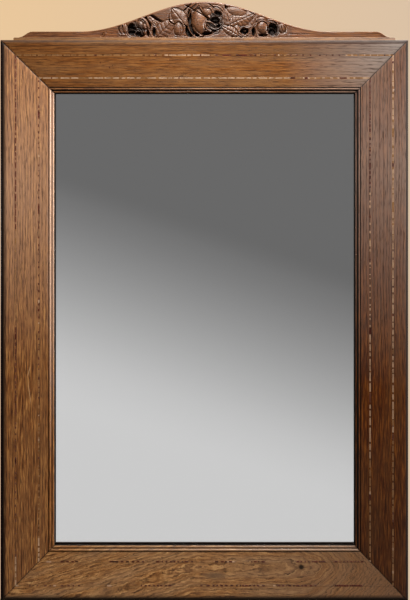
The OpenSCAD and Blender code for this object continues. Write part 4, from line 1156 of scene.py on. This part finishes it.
# Cut nails with flat round heads hold the boards, three across each end and five down each side.
# They are mild steel, rusted brown.
NAIL_D, NAIL_L = 1.6 * MM, 16 * MM
NAIL_HEAD_D, NAIL_HEAD_T = 3.2 * MM, 0.8 * MM
NAILS_ACROSS, NAILS_DOWN = 3, 5
NAIL_SIDES = 14
BOARD_LAP = 10 * MM
RUST_MM = 0.7

rusted = bpy.data.materials.new("rusted mild steel")
rust_tree, rust_shader = shader_of(rusted)
rust_spot = node(rust_tree, "TexCoord", {}, "Object")
rust_grain = node(rust_tree, "TexNoise", {0: rust_spot, "Scale": 1 / (RUST_MM * MM), "Detail": 4.0})
rust_colours = [(0.35, "#2A211C"), (0.5, "#4A3A30"), (0.65, "#70452A")]
rust_tint = node(rust_tree, "ValToRGB", {0: rust_grain}, stops=rust_colours)
bare_steel = node(rust_tree, "MapRange", {0: rust_grain, 1: 0.42, 2: 0.55, 3: 0.8, 4: 0.1})
pitted = node(rust_tree, "Bump", {"Height": rust_grain, "Strength": 0.5, "Distance": 0.15 * MM})
feed(rust_shader, {
    "Base Color": rust_tint, "Metallic": bare_steel, "Roughness": 0.6, "Normal": pitted,
})


def spun_round(profile, sides):
    """A profile of (radius, depth) points turned about the Y axis, the depth to the front."""
    work = bmesh.new()
    points = [work.verts.new((radius, -depth, 0)) for radius, depth in profile]
    edges = [work.edges.new(pair) for pair in zip(points, points[1:])]
    bmesh.ops.spin(
        work, geom=points + edges, axis=(0, 1, 0), cent=(0, 0, 0), angle=2 * math.pi,
        steps=sides, use_merge=True,
    )
    bmesh.ops.remove_doubles(work, verts=work.verts[:], dist=0.001 * MM)
    bmesh.ops.recalc_face_normals(work, faces=work.faces[:])
    return work


def driven(work, places, draw, lean):
    """Copies what is in a mesh to each place, turned and a little askew, as by hand."""
    pattern = everything(work)
    first = work.verts[:]
    for place in places:
        tilt = Matrix.Rotation(math.radians(draw.uniform(-lean, lean)), 4, "X")
        turn = Matrix.Rotation(draw.uniform(0, math.pi), 4, "Y")
        copy = bmesh.ops.duplicate(work, geom=pattern)["geom"]
        seat = Matrix.Translation(place) @ tilt @ turn
        bmesh.ops.transform(work, matrix=seat, verts=only(BMVert, copy))
    bmesh.ops.delete(work, geom=first, context="VERTS")


nail_profile = [
    (0, 0), (0.3 * NAIL_HEAD_D, 0.03 * NAIL_HEAD_D), (0.46 * NAIL_HEAD_D, 0.3 * NAIL_HEAD_T),
    (0.5 * NAIL_HEAD_D, 0.6 * NAIL_HEAD_T), (0.44 * NAIL_HEAD_D, NAIL_HEAD_T),
    (0.5 * NAIL_D, 1.1 * NAIL_HEAD_T), (0.5 * NAIL_D, NAIL_L - 1.5 * NAIL_D), (0, NAIL_L),
]
board_low, board_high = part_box("back_board_centre")
board_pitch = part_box("back_board_right")[0].x - board_low.x
nail_in = BOARD_WALL + BOARD_LAP / 2
nail_y = board_high.y + NAIL_HEAD_T
nail_places = []
for side in (-1, 1):
    for column in range(3 * NAILS_ACROSS):
        board_x = (column // NAILS_ACROSS - 1) * board_pitch
        share = column % NAILS_ACROSS / (NAILS_ACROSS - 1) - 0.5
        x = board_x + share * (board_high.x - board_low.x - 2 * BOARD_LAP)
        nail_places.append((x, nail_y, middle_z + side * (LENGTHS["left"] / 2 - nail_in)))
    for row in range(NAILS_DOWN):
        share = (row + 0.5) / NAILS_DOWN - 0.5
        z = middle_z + share * (board_high.z - board_low.z - 4 * BOARD_LAP)
        nail_places.append((side * (frame_right - nail_in), nail_y, z))
nails = spun_round(nail_profile, NAIL_SIDES)
driven(nails, nail_places, random.Random(5), 2.0)
finished(nails, "board_nails", "frame", ["back_board_nails"], [rusted])

# A strap hanger is screwed to the back of each stile. A strip of sheet brass is folded over the
# bar of a D-shaped ring, its end filed round, and two raised-head screws go through both leaves.
HANGER_DOWN, HANGER_IN = 210 * MM, 32 * MM
STRAP_W, STRAP_T, STRAP_L = 14 * MM, 1.2 * MM, 46 * MM
FOLD_LINE, FOLD_START = 0.1 * MM, 1.4 * MM
STRAP_EASE = 0.2 * MM
WIRE_R, WIRE_PLAY = 1.5 * MM, 0.08 * MM
RING_R, RING_SIDE, RING_BEND = 12 * MM, 8 * MM, 2.5 * MM
RING_LEAN = 3.24
SCREW_D, SCREW_L, SCREW_HEAD_D = 3.5 * MM, 16 * MM, 7 * MM
SCREW_DOME, SCREW_SINK = 0.9 * MM, 1.8 * MM
SCREW_SIDES, WIRE_SIDES = 28, 20
SCREW_FIRST, SCREW_PITCH = 12.5 * MM, 24 * MM
SLOT_HALF, SLOT_WALL, SLOT_DEEP = 0.4 * MM, 0.06 * MM, 0.75 * MM
TARNISH_MM, SCRATCH_MM = 6, 0.35


def old_brass(name, polish):
    """Brass gone brown in the open and darker in its corners. polish is the bright share that
    handling has kept."""
    material = bpy.data.materials.new(name)
    tree, shader = shader_of(material)
    spot = node(tree, "TexCoord", {}, "Object")
    cloud = node(tree, "TexNoise", {0: spot, "Scale": 1 / (TARNISH_MM * MM), "Detail": 5.0})
    bright = node(tree, "MapRange", {0: cloud, 1: 0.62 - polish / 2, 2: 0.75 - polish / 2})
    brass_colours = [(0.0, "#6B4E26"), (0.6, "#A07A3C"), (1.0, "#C9A256")]
    tint = node(tree, "ValToRGB", {0: bright}, stops=brass_colours)
    corner = node(tree, "AmbientOcclusion", {"Distance": 1.5 * MM}, "AO", samples=8)
    open_air = node(tree, "MapRange", {0: corner, 1: 0.35, 2: 0.8})
    grimed = node(tree, inputs={0: open_air, "A": linear("#241A0E"), "B": tint}, **blend)
    dull = node(tree, "MapRange", {0: bright, 3: 0.52, 4: 0.26})
    scratch = node(tree, "TexNoise", {0: spot, "Scale": 1 / (SCRATCH_MM * MM), "Detail": 2.0})
    worn = node(tree, "Bump", {"Height": scratch, "Strength": 0.15, "Distance": 0.05 * MM})
    feed(shader, {"Base Color": grimed, "Metallic": 1.0, "Roughness": dull, "Normal": worn})
    return material


def folded_strap():
    """The strap about the middle of its barrel: two leaves, and the fold that holds the bar."""
    work = bmesh.new()
    bore = WIRE_R + WIRE_PLAY
    skin = bore + STRAP_T
    back, front, line = -skin, 2 * STRAP_T - skin, STRAP_T - skin
    outline = [(back, -STRAP_L)] + arc((0, 0), skin, 180, -98, 28) + [(front, -STRAP_L)]
    outline += [(line + FOLD_LINE / 2, -STRAP_L), (line + FOLD_LINE / 2, -FOLD_START)]
    outline += arc((0, 0), bore, -138, 180, 26) + [(line - FOLD_LINE / 2, -STRAP_L)]
    pulled_along(work, [(-STRAP_W / 2, y, z) for y, z in outline], STRAP_W, STRAP_W)
    bmesh.ops.holes_fill(work, edges=[edge for edge in work.edges if edge.is_boundary], sides=0)
    round_r = STRAP_W / 2
    for turn in range(-75, 76, 15):
        away = Vector((math.sin(math.radians(turn)), 0, -math.cos(math.radians(turn))))
        sawn_off(work, Vector((0, 0, round_r - STRAP_L)) + round_r * away, away)
    bmesh.ops.recalc_face_normals(work, faces=work.faces[:])
    arrises = [edge for edge in work.edges if edge.calc_face_angle(0) > math.radians(50)]
    eased(work, arrises, STRAP_EASE / 2, 2)
    return work


def bent_ring():
    """The ring about its bar: the wire is run out straight, bent, and met again in the barrel."""
    work = bmesh.new()
    rim = bmesh.ops.create_circle(work, radius=WIRE_R, segments=WIRE_SIDES)["verts"]
    bmesh.ops.rotate(work, verts=rim, matrix=Matrix.Rotation(math.pi / 2, 3, "Y"))
    geom = rim + work.edges[:]
    bar_half = RING_R - RING_BEND

    def run(geom, way):
        verts, edges = drawn_out(work, only(BMEdge, geom), way)
        return verts + edges

    def bend(geom, middle, degrees, steps):
        return bmesh.ops.spin(
            work, geom=geom, cent=middle, axis=(0, -1, 0), angle=math.radians(degrees), steps=steps
        )["geom_last"]

    geom = run(geom, (bar_half, 0, 0))
    geom = bend(geom, (bar_half, 0, RING_BEND), 90, 8)
    geom = run(geom, (0, 0, RING_SIDE - RING_BEND))
    geom = bend(geom, (0, 0, RING_SIDE), 180, 36)
    geom = run(geom, (0, 0, RING_BEND - RING_SIDE))
    geom = bend(geom, (-bar_half, 0, RING_BEND), 90, 8)
    run(geom, (bar_half, 0, 0))
    bmesh.ops.remove_doubles(work, verts=work.verts[:], dist=0.01 * MM)
    bmesh.ops.recalc_face_normals(work, faces=work.faces[:])
    return work


sheet_brass = old_brass("rolled sheet brass", 0.15)
wire_brass = old_brass("drawn brass wire", 0.3)
screw_brass = old_brass("turned brass", 0.2)
for side, name in ((-1, "left"), (1, "right")):
    pivot = Matrix.Translation(
        (side * (frame_right - HANGER_IN), STRAP_T + WIRE_R + WIRE_PLAY, frame_top - HANGER_DOWN)
    )
    strap = folded_strap()
    bmesh.ops.transform(strap, matrix=pivot, verts=strap.verts[:])
    replaced = ["hanger_strap_" + name]
    finished(strap, "folded_strap_" + name, "frame", replaced, [sheet_brass])
    ring = bent_ring()
    leaning = pivot @ Matrix.Rotation(math.radians(RING_LEAN), 4, "X")
    bmesh.ops.transform(ring, matrix=leaning, verts=ring.verts[:])
    replaced = ["hanger_ring_" + name]
    finished(ring, "wire_ring_" + name, "ring_" + name, replaced, [wire_brass])

screw_profile = [(0, -SCREW_DOME)]
screw_profile += [
    (SCREW_HEAD_D / 2 * math.sin(math.radians(t)), -SCREW_DOME * math.cos(math.radians(t)))
    for t in range(15, 91, 15)
]
screw_profile += [
    (SCREW_D / 2, SCREW_SINK), (SCREW_D / 2, SCREW_L - SCREW_D), (0.3 * MM, SCREW_L), (0, SCREW_L),
]
screws = spun_round(screw_profile, SCREW_SIDES)
for x in (-SLOT_HALF - SLOT_WALL, -SLOT_HALF, SLOT_HALF, SLOT_HALF + SLOT_WALL):
    scored(screws, (x, 0, 0), (1, 0, 0))
for vert in screws.verts:
    if abs(vert.co.x) < SLOT_HALF + SLOT_WALL / 2 and vert.co.y > -SLOT_WALL:
        vert.co.y -= SLOT_DEEP
first_screw_z = frame_top - HANGER_DOWN - SCREW_FIRST
screw_places = [
    (side * (frame_right - HANGER_IN), 2 * STRAP_T, first_screw_z - i * SCREW_PITCH)
    for side in (-1, 1) for i in (0, 1)
]
driven(screws, screw_places, random.Random(8), 1.0)
finished(screws, "strap_screws", "frame", ["hanger_screws"], [screw_brass])
